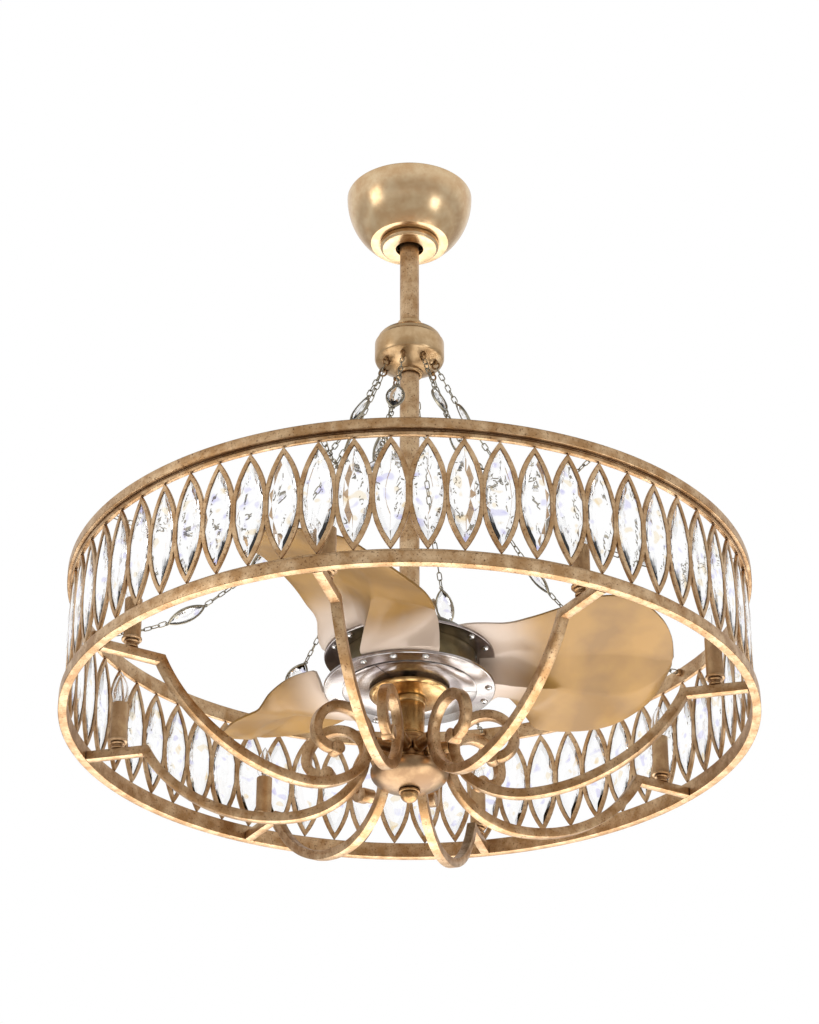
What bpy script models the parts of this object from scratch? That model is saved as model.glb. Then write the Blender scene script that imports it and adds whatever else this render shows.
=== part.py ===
"""Chandelier ceiling fan: a three-blade fan that turns inside a round drum of crystal marquises.

Everything hangs from a ball in the ceiling bracket. The downrod carries the chain hub, the stem below it
carries the motor, and the motor's fixed shaft goes on down to the collar that eight scrolled arms are bolted
to. The arms carry the drum and the candle lights, and eight chains run from the hub to the upper hoop.

Metres, +Z up. The origin is on the ceiling, at the middle of the bracket. Shapes of the arms and chains are
drawn in the first arm's plane, in radius and height.
"""

import math

import bmesh
import bpy
from mathutils import Matrix, Vector

# Fits
FIT = 0.0003  # gap between two pieces that touch
OVERRUN = 0.002  # how far a cutter runs past what it cuts

# Facets round a turned piece, from the small ones to the motor
SMALL_STEPS = 12
PIPE_STEPS = 16
BOWL_STEPS = 20
MOTOR_STEPS = 22

# Downrod, and the driving sizes of what hangs on it
ROD_R = 0.0137
ROD_WALL = 0.0027
ROD_BORE_R = ROD_R - ROD_WALL
ROD_PROUD = 0.0220  # how far the rod stands above the ball's centre
ROD_LENGTH = 0.2490

# Ceiling bracket, canopy and ball
BALL_R = 0.0260
BALL_DROP = 0.0400
BALL_HALF_HEIGHT = 0.0140
BALL_SEAT_INSET = 0.0058
BALL_SEAT_R = BALL_R - BALL_SEAT_INSET
PIN_R = 0.0030
PIN_INSET = 0.0040  # how far each end of the pin lies inside the ball
SWING_DEG = 4.0  # how far the ball lets the rod hang out of line
SWING_SPARE_DEG = 1.0
YOKE_WALL = 0.0030
YOKE_GAP = 0.0050  # round the ball
YOKE_R = BALL_R + YOKE_GAP + YOKE_WALL
YOKE_FOOT = 0.0040  # thickness of the foot ring that the ball sits on
BRACKET_PLATE = 0.0030
COLLAR_ROOM = 0.0059  # round the rod, so that it can swing
COLLAR_HOLE_R = ROD_R + COLLAR_ROOM
COLLAR_DEPTH = 0.0100
COLLAR_WALL = 0.0020
CANOPY_R = 0.0900
CANOPY_DEPTH = 0.0780
CANOPY_CUT = 0.0210  # how much of the half ellipse its flat foot cuts off
CANOPY_WALL = 0.0015
CANOPY_HOLE_ROOM = 0.0044
CANOPY_HOLE_R = COLLAR_HOLE_R + CANOPY_HOLE_ROOM
COLLAR_LAP = 0.0177  # how far the collar covers the canopy's foot
COLLAR_R = CANOPY_HOLE_R + COLLAR_LAP

# Chain hub and stem
HUB_STOP = 0.0060  # ring inside the hub between the rod and the stem
HUB_R = 0.0487
HUB_ABOVE = 0.0520
HUB_BELOW = 0.0350
HUB_UPPER_SHARES = (
    (0.35, 1.0),
    (0.35, 0.88),
    (0.54, 0.68),
    (0.62, 0.62),
    (0.86, 0.50),
    (0.88, 0.37),
    (1.0, 0.33),
)
HUB_LOWER_SHARES = ((1.0, -0.30), (0.90, -0.42), (0.62, -0.72), (0.36, -0.84), (0.36, -1.0))
EYE_R = 0.0050
EYE_WIRE_R = 0.0013
EYE_INSET = 0.0107
EYE_AT_R = HUB_R - EYE_INSET
EYE_FROM_DEG = 30.0
EYE_TURN_DEG = 240.0
EYE_BENDS = 3
STEM_LENGTH = 0.3970

# Motor
CAP_WALL = 0.0083
CAP_R = ROD_R + CAP_WALL
CAP_ABOVE = 0.0180  # coupling cap's height above the stem's foot
CAP_BELOW = 0.0160
SHAFT_R = 0.0100
DRUM_R = 0.0880
DRUM_WALL = 0.0030
CROWN_INSET = 0.0460
CROWN_R = DRUM_R - CROWN_INSET
SHOULDER_INSET = 0.0080
SHOULDER_R = DRUM_R - SHOULDER_INSET
SHOULDER_DROP = 0.0260
RIM_WIDE = 0.0250
RIM_R = DRUM_R + RIM_WIDE
RIM_THICK = 0.0040
RIM_APART = 0.0486  # from the top of the lower plate to the underside of the upper rim
DRUM_ABOVE_RIM = 0.0454
DRUM_HEIGHT = RIM_APART - FIT + DRUM_ABOVE_RIM
PLATE_THICK = 0.0050
COVER_PROUD = 0.0010
COVER_R = DRUM_R + COVER_PROUD
COVER_THICK = 0.0017
COVER_SEAM = 0.0012
SCREW_R = 0.0042
SCREW_HEIGHT = 0.0022
SCREW_OUT = 0.0160
SCREW_AT_R = DRUM_R + SCREW_OUT
SCREW_TURN_DEG = 17.0
SCREW_TURN_SHARES = (0.5, 1.5, 2.5)
SCREW_SIDES = 6
BEARING_WALL = 0.0120
BEARING_R = SHAFT_R + BEARING_WALL
BEARING_WIDTH = 0.0110
BOSS_WALL = 0.0040
MAGNET_WALL = 0.0050
MAGNET_ROOM = 0.0066
MAGNET_HEIGHT = RIM_APART - MAGNET_ROOM
STATOR_INSET = 0.0080
STATOR_HEIGHT = MAGNET_HEIGHT - STATOR_INSET
WINDING_PROUD = 0.0020
WINDING_HEIGHT = MAGNET_HEIGHT + WINDING_PROUD
MOTOR_GAP = 0.0010
RUNNING_GAP = 0.0030

# Driving radius of the drum, outside its lower hoop
HOOP_R = 0.4572

# Blades: each is one moulded sheet, stepped at the root and pitched further out
BLADES = 3
BLADE_TURN_DEG = 104.6  # where the first blade's step stands
BLADE_THICK = 0.0030
BLADE_ROOT_GAP = 0.0045
BLADE_ROOT_R = DRUM_R + BLADE_ROOT_GAP
BLADE_TIP_GAP = 0.1032  # from a blade's tip to the outside of the drum
BLADE_TIP_R = HOOP_R - BLADE_TIP_GAP
BLADE_REACH_SHARES = (0.0, 0.086, 0.18, 0.296, 0.43, 0.629, 0.816, 0.927, 0.977, 1.0)
HIGH_EDGE_DEGS = (-50.0, -47.0, -29.6, -22.5, -18.6, -16.5, -14.0, -7.4, -1.2, 5.0)
STEP_TOP_DEGS = (-32.0, -31.0, -12.0, -2.0, 3.0, 5.0, 5.0, 6.0, 6.0, 6.2)
STEP_FOOT_DEGS = (-18.0, -17.0, 2.0, 14.0, 20.0, 20.0, 15.0, 11.0, 9.0, 7.5)
LOW_EDGE_DEGS = (49.0, 49.0, 43.0, 39.8, 38.9, 34.2, 26.7, 20.5, 16.2, 9.0)
HIGH_RISE_SHARES = (1.0, 1.0, 1.28, 1.51, 1.80, 2.17, 2.11, 1.84, 1.64, 1.40)
LOW_RISE_SHARES = (0.0, 0.0, -0.05, -0.03, 0.11, 0.36, 0.46, 0.77, 0.97, 1.31)
BLADE_ROW_SHARES = (0.0, 0.086, 0.16, 0.28, 0.43, 0.60, 0.77, 0.90, 0.965, 1.0)
STEP_EASE_SHARES = ((1 / 3, 0.3), (2 / 3, 0.7))  # across the step, and down it
OPEN_FROM_SHARE = 0.09  # where along the blade its two lands start to tilt into one paddle
OPEN_OVER_SHARE = 0.45
OPEN_MOST_SHARE = 0.8

# Arms
ARMS = 8
BAR = 0.0127
ARM_HUB_R = 0.0600  # middle of the bar where it passes the collar
SWEEP_REACH = 0.0980  # the quarter ellipse under the scroll, across and down
SWEEP_DROP = 0.0770
LOOP_R = 0.0395
CURL_R = 0.0220
ARM_RISE = 0.1172  # from the lowest bar to the level stretch
LEVEL_LENGTH = 0.0952  # level stretch of an arm, under the candle
KINK_R = HOOP_R - LEVEL_LENGTH
RISE_SHARES = (0.181, 0.584)  # Bezier handles of the long rise: drop below the kink at its two ends
RISE_REACH_SHARES = (0.181, 0.402)
COIN_R = 0.0094
COIN_WIDTH = 0.0170
COIN_INSET_SHARE = 0.8  # of the coin's radius, from the bar's end to the coin's middle
COIN_SIDES = 8
MITRE_LEAST_SHARE = 0.5
RISE_BENDS = 6
SWEEP_BENDS = 3
LOOP_BENDS = 7
CURL_BENDS = 3

# Light column, collar, bowl and finial
DISH_R = 0.0530
DISH_HEIGHT = 0.0090
DISH_WALL = 0.0015
COLUMN_WALL = 0.0103
COLUMN_R = SHAFT_R + COLUMN_WALL
COLUMN_LENGTH = 0.0557
COLUMN_RING_PROUD = 0.0017
COLUMN_RING_R = COLUMN_R + COLUMN_RING_PROUD
COLUMN_RING = 0.0050
COLUMN_SOCKET = 0.0130
BLOCK_PROUD = 0.0014
BLOCK_R = COLUMN_RING_R + BLOCK_PROUD
BLOCK_HEIGHT = 0.0340
BOSS_R = 0.0080
BOSS_SIDES = 8
BOWL_ROOM = 0.00295
BOWL_R = ARM_HUB_R - BAR / 2 - BOWL_ROOM
BOWL_HEIGHT = 0.0280
BOWL_WALL = 0.0015
BOWL_DROP = 0.0110
BOWL_BENDS = 4
STUD_R = 0.0050
FINIAL_R = 0.0140
FINIAL_HEIGHT = 0.0160
FINIAL_BUTTON_SHARES = (0.86, 0.66)  # of the finial's radius and height
FINIAL_GROOVE = 0.0014

# Drum
CELLS = 64
HOOP_WALL = 0.0122
HOOP_INNER_R = HOOP_R - HOOP_WALL
HOOP_BAND = 0.0165
LIP_WALL = 0.0050
LIP_R = HOOP_INNER_R + LIP_WALL
LIP_HEIGHT = 0.0055
UPPER_LIP_HEIGHT = 0.0080
UPPER_HOOP_PROUD = 0.0060
UPPER_HOOP_R = LIP_R + UPPER_HOOP_PROUD
UPPER_HOOP_BAND = 0.0140
LATTICE_HEIGHT = 0.1534
LATTICE_BAR = 0.0050
LATTICE_DEPTH = LIP_WALL - 2 * FIT
# Half width and height of a marquise, from its foot up
MARQUISE_SHARES = ((0.60, 0.17), (1.0, 0.38), (1.0, 0.62), (0.60, 0.83))
TIP_BAR_SHARE = 2.6  # how much of the frame lies above the crystal's foot, in bars
SHOULDER_BAR_SHARE = 0.44
CRYSTAL_PROUD = 0.0012
CRYSTAL_RIDGE_SHARE = 0.30
HOOK_REACH = 0.0060
HOOK_WIDTH = 0.0060
HOOK_HEIGHT = 0.0080

# Candles and bulbs
CANDLE_INSET = 0.0542
CANDLE_AT_R = HOOP_R - CANDLE_INSET
BULB_BASE_R = 0.0070
SOCKET_ROOM = 0.0010
SOCKET_R = BULB_BASE_R + SOCKET_ROOM
SLEEVE_WALL = 0.0031
SLEEVE_R = SOCKET_R + SLEEVE_WALL
CUP_PROUD = 0.0017
CUP_R = SLEEVE_R + CUP_PROUD
CUP_HEIGHT = 0.0130
SLEEVE_HEIGHT = 0.0540
CANDLE_NECK_R = 0.0056
CANDLE_SIDES = 8
SOCKET_DEPTH = 0.0120
BULB_R = 0.0112
BULB_HEIGHT = 0.0600
BULB_SHARES = ((1.0, 0.32), (0.95, 0.55), (0.60, 0.82))

# Chains
LINK_PITCH = 0.0340
LINK_WIDE = 0.0090
LINK_THIN = 0.0026
CHAIN_LOW_INSET = 0.0572  # from the drum's outside to where a chain's curve would be level
CHAIN_LOW_R = HOOP_R - CHAIN_LOW_INSET
CHAIN_END_LIFT = 0.0063
CHAIN_END_RISE = UPPER_LIP_HEIGHT + CHAIN_END_LIFT  # where a chain meets the upper hoop
PENDANT_LENGTH = 0.0550
SMALL_PENDANT_LENGTH = 0.0360
PENDANT_WIDE = 0.0240
PENDANT_THICK = 0.0050
SMALL_PENDANT_AT_SHARE = 0.165
PENDANT_AT_SHARES = (0.55, 0.78)
PENDANT_WIDTH_SHARES = (0.20, 1.0, 0.20)
PENDANT_TIP_SHARE = 0.05  # of a pendant's length, between its tip and the next link

# Levels, worked out from the ceiling down
BALL_Z = -BALL_DROP
ROD_TOP = BALL_Z + ROD_PROUD
ROD_BOTTOM = ROD_TOP - ROD_LENGTH
HUB_TOP = ROD_BOTTOM + HUB_ABOVE
STEM_TOP = ROD_BOTTOM - HUB_STOP - 2 * FIT
STEM_BOTTOM = STEM_TOP - STEM_LENGTH
CAP_BOTTOM = STEM_BOTTOM - CAP_BELOW
DRUM_TOP = CAP_BOTTOM - RUNNING_GAP
DRUM_BOTTOM = DRUM_TOP - DRUM_HEIGHT
PLATE_TOP = DRUM_BOTTOM - FIT
PLATE_BOTTOM = PLATE_TOP - PLATE_THICK
RIM_Z = PLATE_TOP + RIM_APART
COVER_BOTTOM = PLATE_BOTTOM - FIT - COVER_THICK
DISH_TOP = COVER_BOTTOM - RUNNING_GAP
COLUMN_TOP = DISH_TOP - DISH_HEIGHT - FIT
ARM_RISE_TOP = ARM_RISE - SWEEP_DROP  # level stretch above the scroll's centre
BLOCK_TOP = COLUMN_TOP - COLUMN_LENGTH - FIT
BLOCK_BOTTOM = BLOCK_TOP - BLOCK_HEIGHT
ARM_Z = BLOCK_TOP - BLOCK_HEIGHT / 2  # height of the scrolls' centres
BOWL_TOP = BLOCK_BOTTOM - BOWL_DROP
BOWL_BOTTOM = BOWL_TOP - BOWL_HEIGHT
LEVEL_Z = ARM_Z + ARM_RISE_TOP
HOOP_BOTTOM = LEVEL_Z - BAR / 2
LATTICE_BOTTOM = HOOP_BOTTOM + HOOP_BAND + LIP_HEIGHT + FIT
UPPER_HOOP_BOTTOM = LATTICE_BOTTOM + LATTICE_HEIGHT + FIT
HOOP_FLAT_R = HOOP_INNER_R * math.cos(math.pi / CELLS)
CELL_TURN = 2 * math.pi / CELLS


# Materials
def finish(name, colour, roughness, metallic, alpha=1.0):
    """A material of one colour, given in linear light."""
    made = bpy.data.materials.new(name)
    made.use_nodes = True
    shader = made.node_tree.nodes["Principled BSDF"]
    shader.inputs["Base Color"].default_value = (*colour, 1.0)
    shader.inputs["Roughness"].default_value = roughness
    shader.inputs["Metallic"].default_value = metallic
    shader.inputs["Alpha"].default_value = alpha
    made.diffuse_color = (*colour, 1.0)
    return made


# Shapes
def show(name, mesh, material, turn=0.0, place=(0.0, 0.0, 0.0)):
    """Puts a mesh in the scene as one piece, smooth but for its sharp edges."""
    if material is not None:
        mesh.materials.clear()
        mesh.materials.append(material)
    mesh.shade_smooth()
    mesh.set_sharp_from_angle(angle=math.radians(35.0))
    made = bpy.data.objects.new(name, mesh)
    made.rotation_euler.z = turn
    made.location = place
    bpy.context.scene.collection.objects.link(made)
    return made


def mesh_from(bm, name):
    bmesh.ops.recalc_face_normals(bm, faces=bm.faces)
    mesh = bpy.data.meshes.new(name)
    bm.to_mesh(mesh)
    bm.free()
    return mesh


def turned(name, outline, steps, offset=0.0):
    """The mesh of a closed outline of (radius, height) points turned about an upright axis."""
    bm = bmesh.new()
    rings = []
    for r, z in outline:
        if r == 0.0:
            rings.append([bm.verts.new((0.0, 0.0, z))] * steps)
            continue
        turns = [2 * math.pi * (i + offset) / steps for i in range(steps)]
        rings.append([bm.verts.new((r * math.cos(a), r * math.sin(a), z)) for a in turns])
    for low, high in zip(rings, rings[1:] + rings[:1]):
        if low[0] is low[1] and high[0] is high[1]:
            continue
        for i in range(steps):
            j = (i + 1) % steps
            corners = [low[i], low[j], high[j], high[i]]
            bm.faces.new(list(dict.fromkeys(corners)))
    return mesh_from(bm, name)


def rod_between(name, radius, a, b, steps):
    """A cylinder from one point to another."""
    a, b = Vector(a), Vector(b)
    turn = (b - a).to_track_quat("Z", "Y").to_matrix().to_4x4()
    place = Matrix.Translation((a + b) / 2) @ turn
    bm = bmesh.new()
    bmesh.ops.create_cone(
        bm, cap_ends=True, segments=steps, radius1=radius, radius2=radius, depth=(b - a).length, matrix=place
    )
    return mesh_from(bm, name)


def block(name, low, high):
    """A box between two corners."""
    low, high = Vector(low), Vector(high)
    size = Matrix.Diagonal((*(high - low), 1.0))
    bm = bmesh.new()
    place = Matrix.Translation((low + high) / 2)
    bmesh.ops.create_cube(bm, size=1.0, matrix=place @ size)
    return mesh_from(bm, name)


def swept(name, sections):
    """A closed tube through a row of sections, each a ring of the same number of points."""
    bm = bmesh.new()
    rings = [[bm.verts.new(point) for point in section] for section in sections]
    for low, high in zip(rings, rings[1:]):
        for i in range(len(low)):
            j = (i + 1) % len(low)
            bm.faces.new((low[i], low[j], high[j], high[i]))
    bm.faces.new(rings[0])
    bm.faces.new(rings[-1])
    return mesh_from(bm, name)


def around(mesh, turns, name):
    """One mesh of several copies of another, each turned about Z."""
    bm = bmesh.new()
    for turn in turns:
        copy = mesh.copy()
        copy.transform(Matrix.Rotation(turn, 4, "Z"))
        bm.from_mesh(copy)
        bpy.data.meshes.remove(copy)
    return mesh_from(bm, name)


def combine(obj, mesh, operation):
    """Adds or cuts a helper's shape with a Boolean."""
    helper = show(f"{mesh.name}_helper", mesh, None)
    helper.hide_render = True
    helper.display_type = "WIRE"
    modifier = obj.modifiers.new(mesh.name, "BOOLEAN")
    modifier.operation = operation
    modifier.solver = "EXACT"
    modifier.object = helper


def arc(centre, radius, start_deg, end_deg, steps, squash=1.0):
    """Points on an arc or, with a squash, on an ellipse, with both ends."""
    turns = [math.radians(start_deg + (end_deg - start_deg) * i / steps) for i in range(steps + 1)]
    return [(centre[0] + radius * math.cos(a), centre[1] + radius * squash * math.sin(a)) for a in turns]


def at_arm(r, z, across=0.0):
    """The point at a radius and a height in the first arm's plane, which is the plane of -Y."""
    return Vector((across, -r, z))


def smooth_through(xs, ys, x):
    """The height at x of a smooth curve through points, with each point's slope taken from its neighbours."""
    slopes = []
    for i in range(len(xs)):
        a, b = max(i - 1, 0), min(i + 1, len(xs) - 1)
        slopes.append((ys[b] - ys[a]) / (xs[b] - xs[a]))
    i = max(k for k in range(len(xs) - 1) if xs[k] <= x or k == 0)
    width = xs[i + 1] - xs[i]
    t = (x - xs[i]) / width
    start = (1 + 2 * t) * (1 - t) ** 2 * ys[i] + t * (1 - t) ** 2 * width * slopes[i]
    end = t**2 * (3 - 2 * t) * ys[i + 1] - t**2 * (1 - t) * width * slopes[i + 1]
    return start + end


def build_ceiling_bracket(steel):
    """A round plate with a yoke whose foot ring carries the ball. A window in its side lets the rod in."""
    seat_z = BALL_Z - math.sqrt((BALL_R + FIT) ** 2 - BALL_SEAT_R**2)
    yoke_inner = YOKE_R - YOKE_WALL
    plate_r = CANOPY_R - CANOPY_WALL - 2 * FIT
    land_r = BALL_SEAT_R + YOKE_WALL / 2
    land_z = BALL_Z - math.sqrt((BALL_R + FIT) ** 2 - land_r**2)
    foot_z = seat_z - YOKE_FOOT
    outline = [
        (0.0, 0.0),
        (plate_r, 0.0),
        (plate_r, -BRACKET_PLATE),
        (YOKE_R, -BRACKET_PLATE),
        (YOKE_R, foot_z),
        (BALL_SEAT_R, foot_z),
        (BALL_SEAT_R, seat_z),
        (land_r, land_z),
        (yoke_inner, land_z),
        (yoke_inner, -BRACKET_PLATE),
        (0.0, -BRACKET_PLATE),
    ]
    bracket = show("ceiling_bracket", turned("ceiling_bracket", outline, BOWL_STEPS), steel)
    window_half = BALL_R + OVERRUN / 2
    window_low = (-window_half, 0.0, seat_z + YOKE_FOOT)
    window_high = (window_half, YOKE_R + OVERRUN, -BRACKET_PLATE - YOKE_WALL)
    combine(bracket, block("bracket_window", window_low, window_high), "DIFFERENCE")
    slot_half = ROD_R + OVERRUN
    slot_low = (-slot_half, 0.0, foot_z - OVERRUN)
    slot_high = (slot_half, YOKE_R + OVERRUN, seat_z + YOKE_FOOT + OVERRUN)
    combine(bracket, block("bracket_slot", slot_low, slot_high), "DIFFERENCE")


def build_canopy(champagne):
    """A spun bowl with a flat foot, and a pressed collar under the foot."""

    def bowl(radius, depth, to_depth):
        depths = [to_depth * math.sin(math.pi / 2 * i / BOWL_BENDS) for i in range(BOWL_BENDS + 1)]
        return [(radius * math.sqrt(1.0 - (z / depth) ** 2), -z) for z in depths]

    bowl_depth = CANOPY_DEPTH + CANOPY_CUT
    outside = bowl(CANOPY_R, bowl_depth, CANOPY_DEPTH)
    inside = bowl(CANOPY_R - CANOPY_WALL, bowl_depth - CANOPY_WALL, CANOPY_DEPTH - CANOPY_WALL)
    foot = [(CANOPY_HOLE_R, -CANOPY_DEPTH), (CANOPY_HOLE_R, -CANOPY_DEPTH + CANOPY_WALL)]
    show("canopy", turned("canopy", outside + foot + inside[::-1], BOWL_STEPS), champagne)
    top = -CANOPY_DEPTH - FIT
    bottom = top - COLLAR_DEPTH
    collar = [
        (COLLAR_HOLE_R, bottom),
        (COLLAR_R - COLLAR_WALL, bottom),
        (COLLAR_R, bottom + COLLAR_WALL),
        (COLLAR_R, top),
        (COLLAR_R - COLLAR_WALL, top),
        (COLLAR_R - COLLAR_WALL, bottom + COLLAR_WALL),
        (COLLAR_HOLE_R, bottom + COLLAR_WALL),
    ]
    show("canopy_collar", turned("canopy_collar", collar, BOWL_STEPS), champagne)


def build_ball_and_rod(steel, gold):
    """The ball is cut flat above and below. Its bore widens both ways, so the rod can lean on its pin."""
    bore = ROD_R + FIT
    mouth = bore + BALL_HALF_HEIGHT * math.tan(math.radians(SWING_DEG + SWING_SPARE_DEG))
    lean = math.degrees(math.asin(BALL_HALF_HEIGHT / BALL_R))
    outside = arc((0.0, BALL_Z), BALL_R, -lean, lean, BOWL_BENDS)
    bore_line = [(mouth, BALL_Z + BALL_HALF_HEIGHT), (bore, BALL_Z), (mouth, BALL_Z - BALL_HALF_HEIGHT)]
    ball = show("hanger_ball", turned("hanger_ball", outside + bore_line, PIPE_STEPS), steel)
    reach = BALL_R + OVERRUN
    pin_hole = rod_between("pin_hole", PIN_R + FIT, (0.0, -reach, BALL_Z), (0.0, reach, BALL_Z), SMALL_STEPS)
    combine(ball, pin_hole, "DIFFERENCE")
    half = BALL_R - PIN_INSET
    pin = rod_between("hanger_pin", PIN_R, (0.0, -half, BALL_Z), (0.0, half, BALL_Z), SMALL_STEPS)
    show("hanger_pin", pin, steel)
    pipe = [(ROD_BORE_R, ROD_BOTTOM), (ROD_R, ROD_BOTTOM), (ROD_R, ROD_TOP), (ROD_BORE_R, ROD_TOP)]
    rod = show("downrod", turned("downrod", pipe, PIPE_STEPS), gold)
    combine(rod, pin_hole, "DIFFERENCE")


def hub_eye():
    """(radius, height) of the middle of a chain eye. Its top is sunk in the hub's bowl."""
    low, high = HUB_LOWER_SHARES[2], HUB_LOWER_SHARES[1]
    share = (EYE_AT_R / HUB_R - low[0]) / (high[0] - low[0])
    skin = ROD_BOTTOM + HUB_BELOW * (low[1] + share * (high[1] - low[1]))
    return EYE_AT_R, skin - EYE_R


def build_chain_hub(champagne):
    """A stepped, bowl-shaped casting that joins the rod to the stem and holds eight chain eyes."""
    bore = ROD_R + FIT
    stop_top = ROD_BOTTOM - FIT
    upper = [(HUB_R * r, ROD_BOTTOM + HUB_ABOVE * z) for r, z in HUB_UPPER_SHARES]
    lower = [(HUB_R * r, ROD_BOTTOM + HUB_BELOW * z) for r, z in HUB_LOWER_SHARES]
    inside = [
        (bore, lower[-1][1]),
        (bore, stop_top - HUB_STOP),
        (ROD_BORE_R, stop_top - HUB_STOP),
        (ROD_BORE_R, stop_top),
        (bore, stop_top),
        (bore, upper[0][1]),
    ]
    hub = show("chain_hub", turned("chain_hub", upper + lower + inside, PIPE_STEPS), champagne)
    r, z = hub_eye()
    sections = []
    for i in range(EYE_BENDS + 1):
        turn = math.radians(EYE_FROM_DEG - EYE_TURN_DEG * i / EYE_BENDS)
        outward = Vector((0.0, -math.cos(turn), math.sin(turn)))
        middle = at_arm(r, z) + outward * EYE_R
        across = Vector((EYE_WIRE_R, 0.0, 0.0))
        up = outward * EYE_WIRE_R
        sections.append([middle + across, middle + up, middle - across, middle - up])
    eye = swept("eye", sections)
    combine(hub, around(eye, [2 * math.pi * i / ARMS for i in range(ARMS)], "hub_eyes"), "UNION")


def build_motor(steel, brass, copper, olive, silver):
    """The fixed shaft with its stator, and the rotor that runs round them on two bearings."""
    bore = ROD_R + FIT
    pipe = [(ROD_BORE_R, STEM_BOTTOM), (ROD_R, STEM_BOTTOM), (ROD_R, STEM_TOP), (ROD_BORE_R, STEM_TOP)]
    show("lower_stem", turned("lower_stem", pipe, PIPE_STEPS), brass)
    shaft_bottom = COLUMN_TOP - COLUMN_SOCKET + FIT
    cap_top = STEM_BOTTOM + CAP_ABOVE
    shaft_outline = [
        (0.0, shaft_bottom),
        (SHAFT_R, shaft_bottom),
        (SHAFT_R, CAP_BOTTOM),
        (CAP_R, CAP_BOTTOM),
        (CAP_R, cap_top),
        (bore, cap_top),
        (bore, STEM_BOTTOM - FIT),
        (0.0, STEM_BOTTOM - FIT),
    ]
    show("motor_shaft", turned("motor_shaft", shaft_outline, PIPE_STEPS), steel)

    drum_inner = DRUM_R - DRUM_WALL
    seat_r = BEARING_R + FIT
    boss_r = seat_r + BOSS_WALL
    crown_under = DRUM_TOP - DRUM_WALL
    casing_outline = [
        (SHAFT_R + RUNNING_GAP, DRUM_TOP),
        (CROWN_R, DRUM_TOP),
        (SHOULDER_R, DRUM_TOP - SHOULDER_DROP),
        (DRUM_R, RIM_Z + RIM_THICK + DRUM_WALL),
        (DRUM_R, RIM_Z + RIM_THICK),
        (RIM_R, RIM_Z + RIM_THICK),
        (RIM_R, RIM_Z),
        (DRUM_R, RIM_Z),
        (DRUM_R, DRUM_BOTTOM),
        (drum_inner, DRUM_BOTTOM),
        (drum_inner, RIM_Z + RIM_THICK),
        (SHOULDER_R - DRUM_WALL, DRUM_TOP - SHOULDER_DROP - DRUM_WALL),
        (boss_r + BOSS_WALL, crown_under),
        (boss_r, crown_under - BEARING_WIDTH),
        (seat_r, crown_under - BEARING_WIDTH),
        (seat_r, crown_under),
        (SHAFT_R + RUNNING_GAP, crown_under),
    ]
    show("rotor_casing", turned("rotor_casing", casing_outline, MOTOR_STEPS), olive)

    magnet_z = PLATE_TOP + (RIM_APART - MAGNET_HEIGHT) / 2 + RUNNING_GAP
    magnet_outer = drum_inner - FIT
    magnet_inner = magnet_outer - MAGNET_WALL
    magnet = [
        (magnet_inner, magnet_z),
        (magnet_outer, magnet_z),
        (magnet_outer, magnet_z + MAGNET_HEIGHT),
        (magnet_inner, magnet_z + MAGNET_HEIGHT),
    ]
    show("magnet_ring", turned("magnet_ring", magnet, MOTOR_STEPS), steel)
    stator_mid = magnet_z + MAGNET_HEIGHT / 2
    stator_r = magnet_inner * math.cos(math.pi / MOTOR_STEPS) - MOTOR_GAP
    winding_r = stator_r - MOTOR_GAP - RUNNING_GAP
    stator = [
        (SHAFT_R + FIT, stator_mid - WINDING_HEIGHT / 4),
        (boss_r, stator_mid - WINDING_HEIGHT / 4),
        (boss_r + BOSS_WALL, stator_mid - WINDING_HEIGHT / 2),
        (winding_r, stator_mid - WINDING_HEIGHT / 2),
        (winding_r, stator_mid - STATOR_HEIGHT / 2),
        (stator_r, stator_mid - STATOR_HEIGHT / 2),
        (stator_r, stator_mid + STATOR_HEIGHT / 2),
        (winding_r, stator_mid + STATOR_HEIGHT / 2),
        (winding_r, stator_mid + WINDING_HEIGHT / 2),
        (boss_r + BOSS_WALL, stator_mid + WINDING_HEIGHT / 2),
        (boss_r, stator_mid + WINDING_HEIGHT / 4),
        (SHAFT_R + FIT, stator_mid + WINDING_HEIGHT / 4),
    ]
    show("stator", turned("stator", stator, PIPE_STEPS), copper)

    seat_z = PLATE_TOP + FIT
    for name, low in (("upper_bearing", crown_under - FIT - BEARING_WIDTH), ("lower_bearing", seat_z)):
        race = [
            (SHAFT_R + FIT, low),
            (BEARING_R, low),
            (BEARING_R, low + BEARING_WIDTH),
            (SHAFT_R + FIT, low + BEARING_WIDTH),
        ]
        show(name, turned(name, race, PIPE_STEPS), steel)
    plate = [
        (SHAFT_R + RUNNING_GAP, PLATE_BOTTOM),
        (RIM_R, PLATE_BOTTOM),
        (RIM_R, PLATE_TOP),
        (boss_r, PLATE_TOP),
        (boss_r, seat_z + BEARING_WIDTH / 2),
        (seat_r, seat_z + BEARING_WIDTH / 2),
        (seat_r, PLATE_TOP),
        (SHAFT_R + RUNNING_GAP, PLATE_TOP),
    ]
    rotor_plate = show("rotor_plate", turned("rotor_plate", plate, MOTOR_STEPS), silver)
    head_top = PLATE_BOTTOM + PLATE_THICK / 2
    head_low = PLATE_BOTTOM - SCREW_HEIGHT
    head = (at_arm(SCREW_AT_R, head_low), at_arm(SCREW_AT_R, head_top))
    screw = rod_between("screw", SCREW_R, *head, SCREW_SIDES)
    blade_turns = [math.radians(BLADE_TURN_DEG + 360.0 * i / BLADES) for i in range(BLADES)]
    screw_turns = [turn + math.radians(SCREW_TURN_DEG * k) for turn in blade_turns for k in SCREW_TURN_SHARES]
    combine(rotor_plate, around(screw, screw_turns, "plate_screws"), "UNION")

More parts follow.
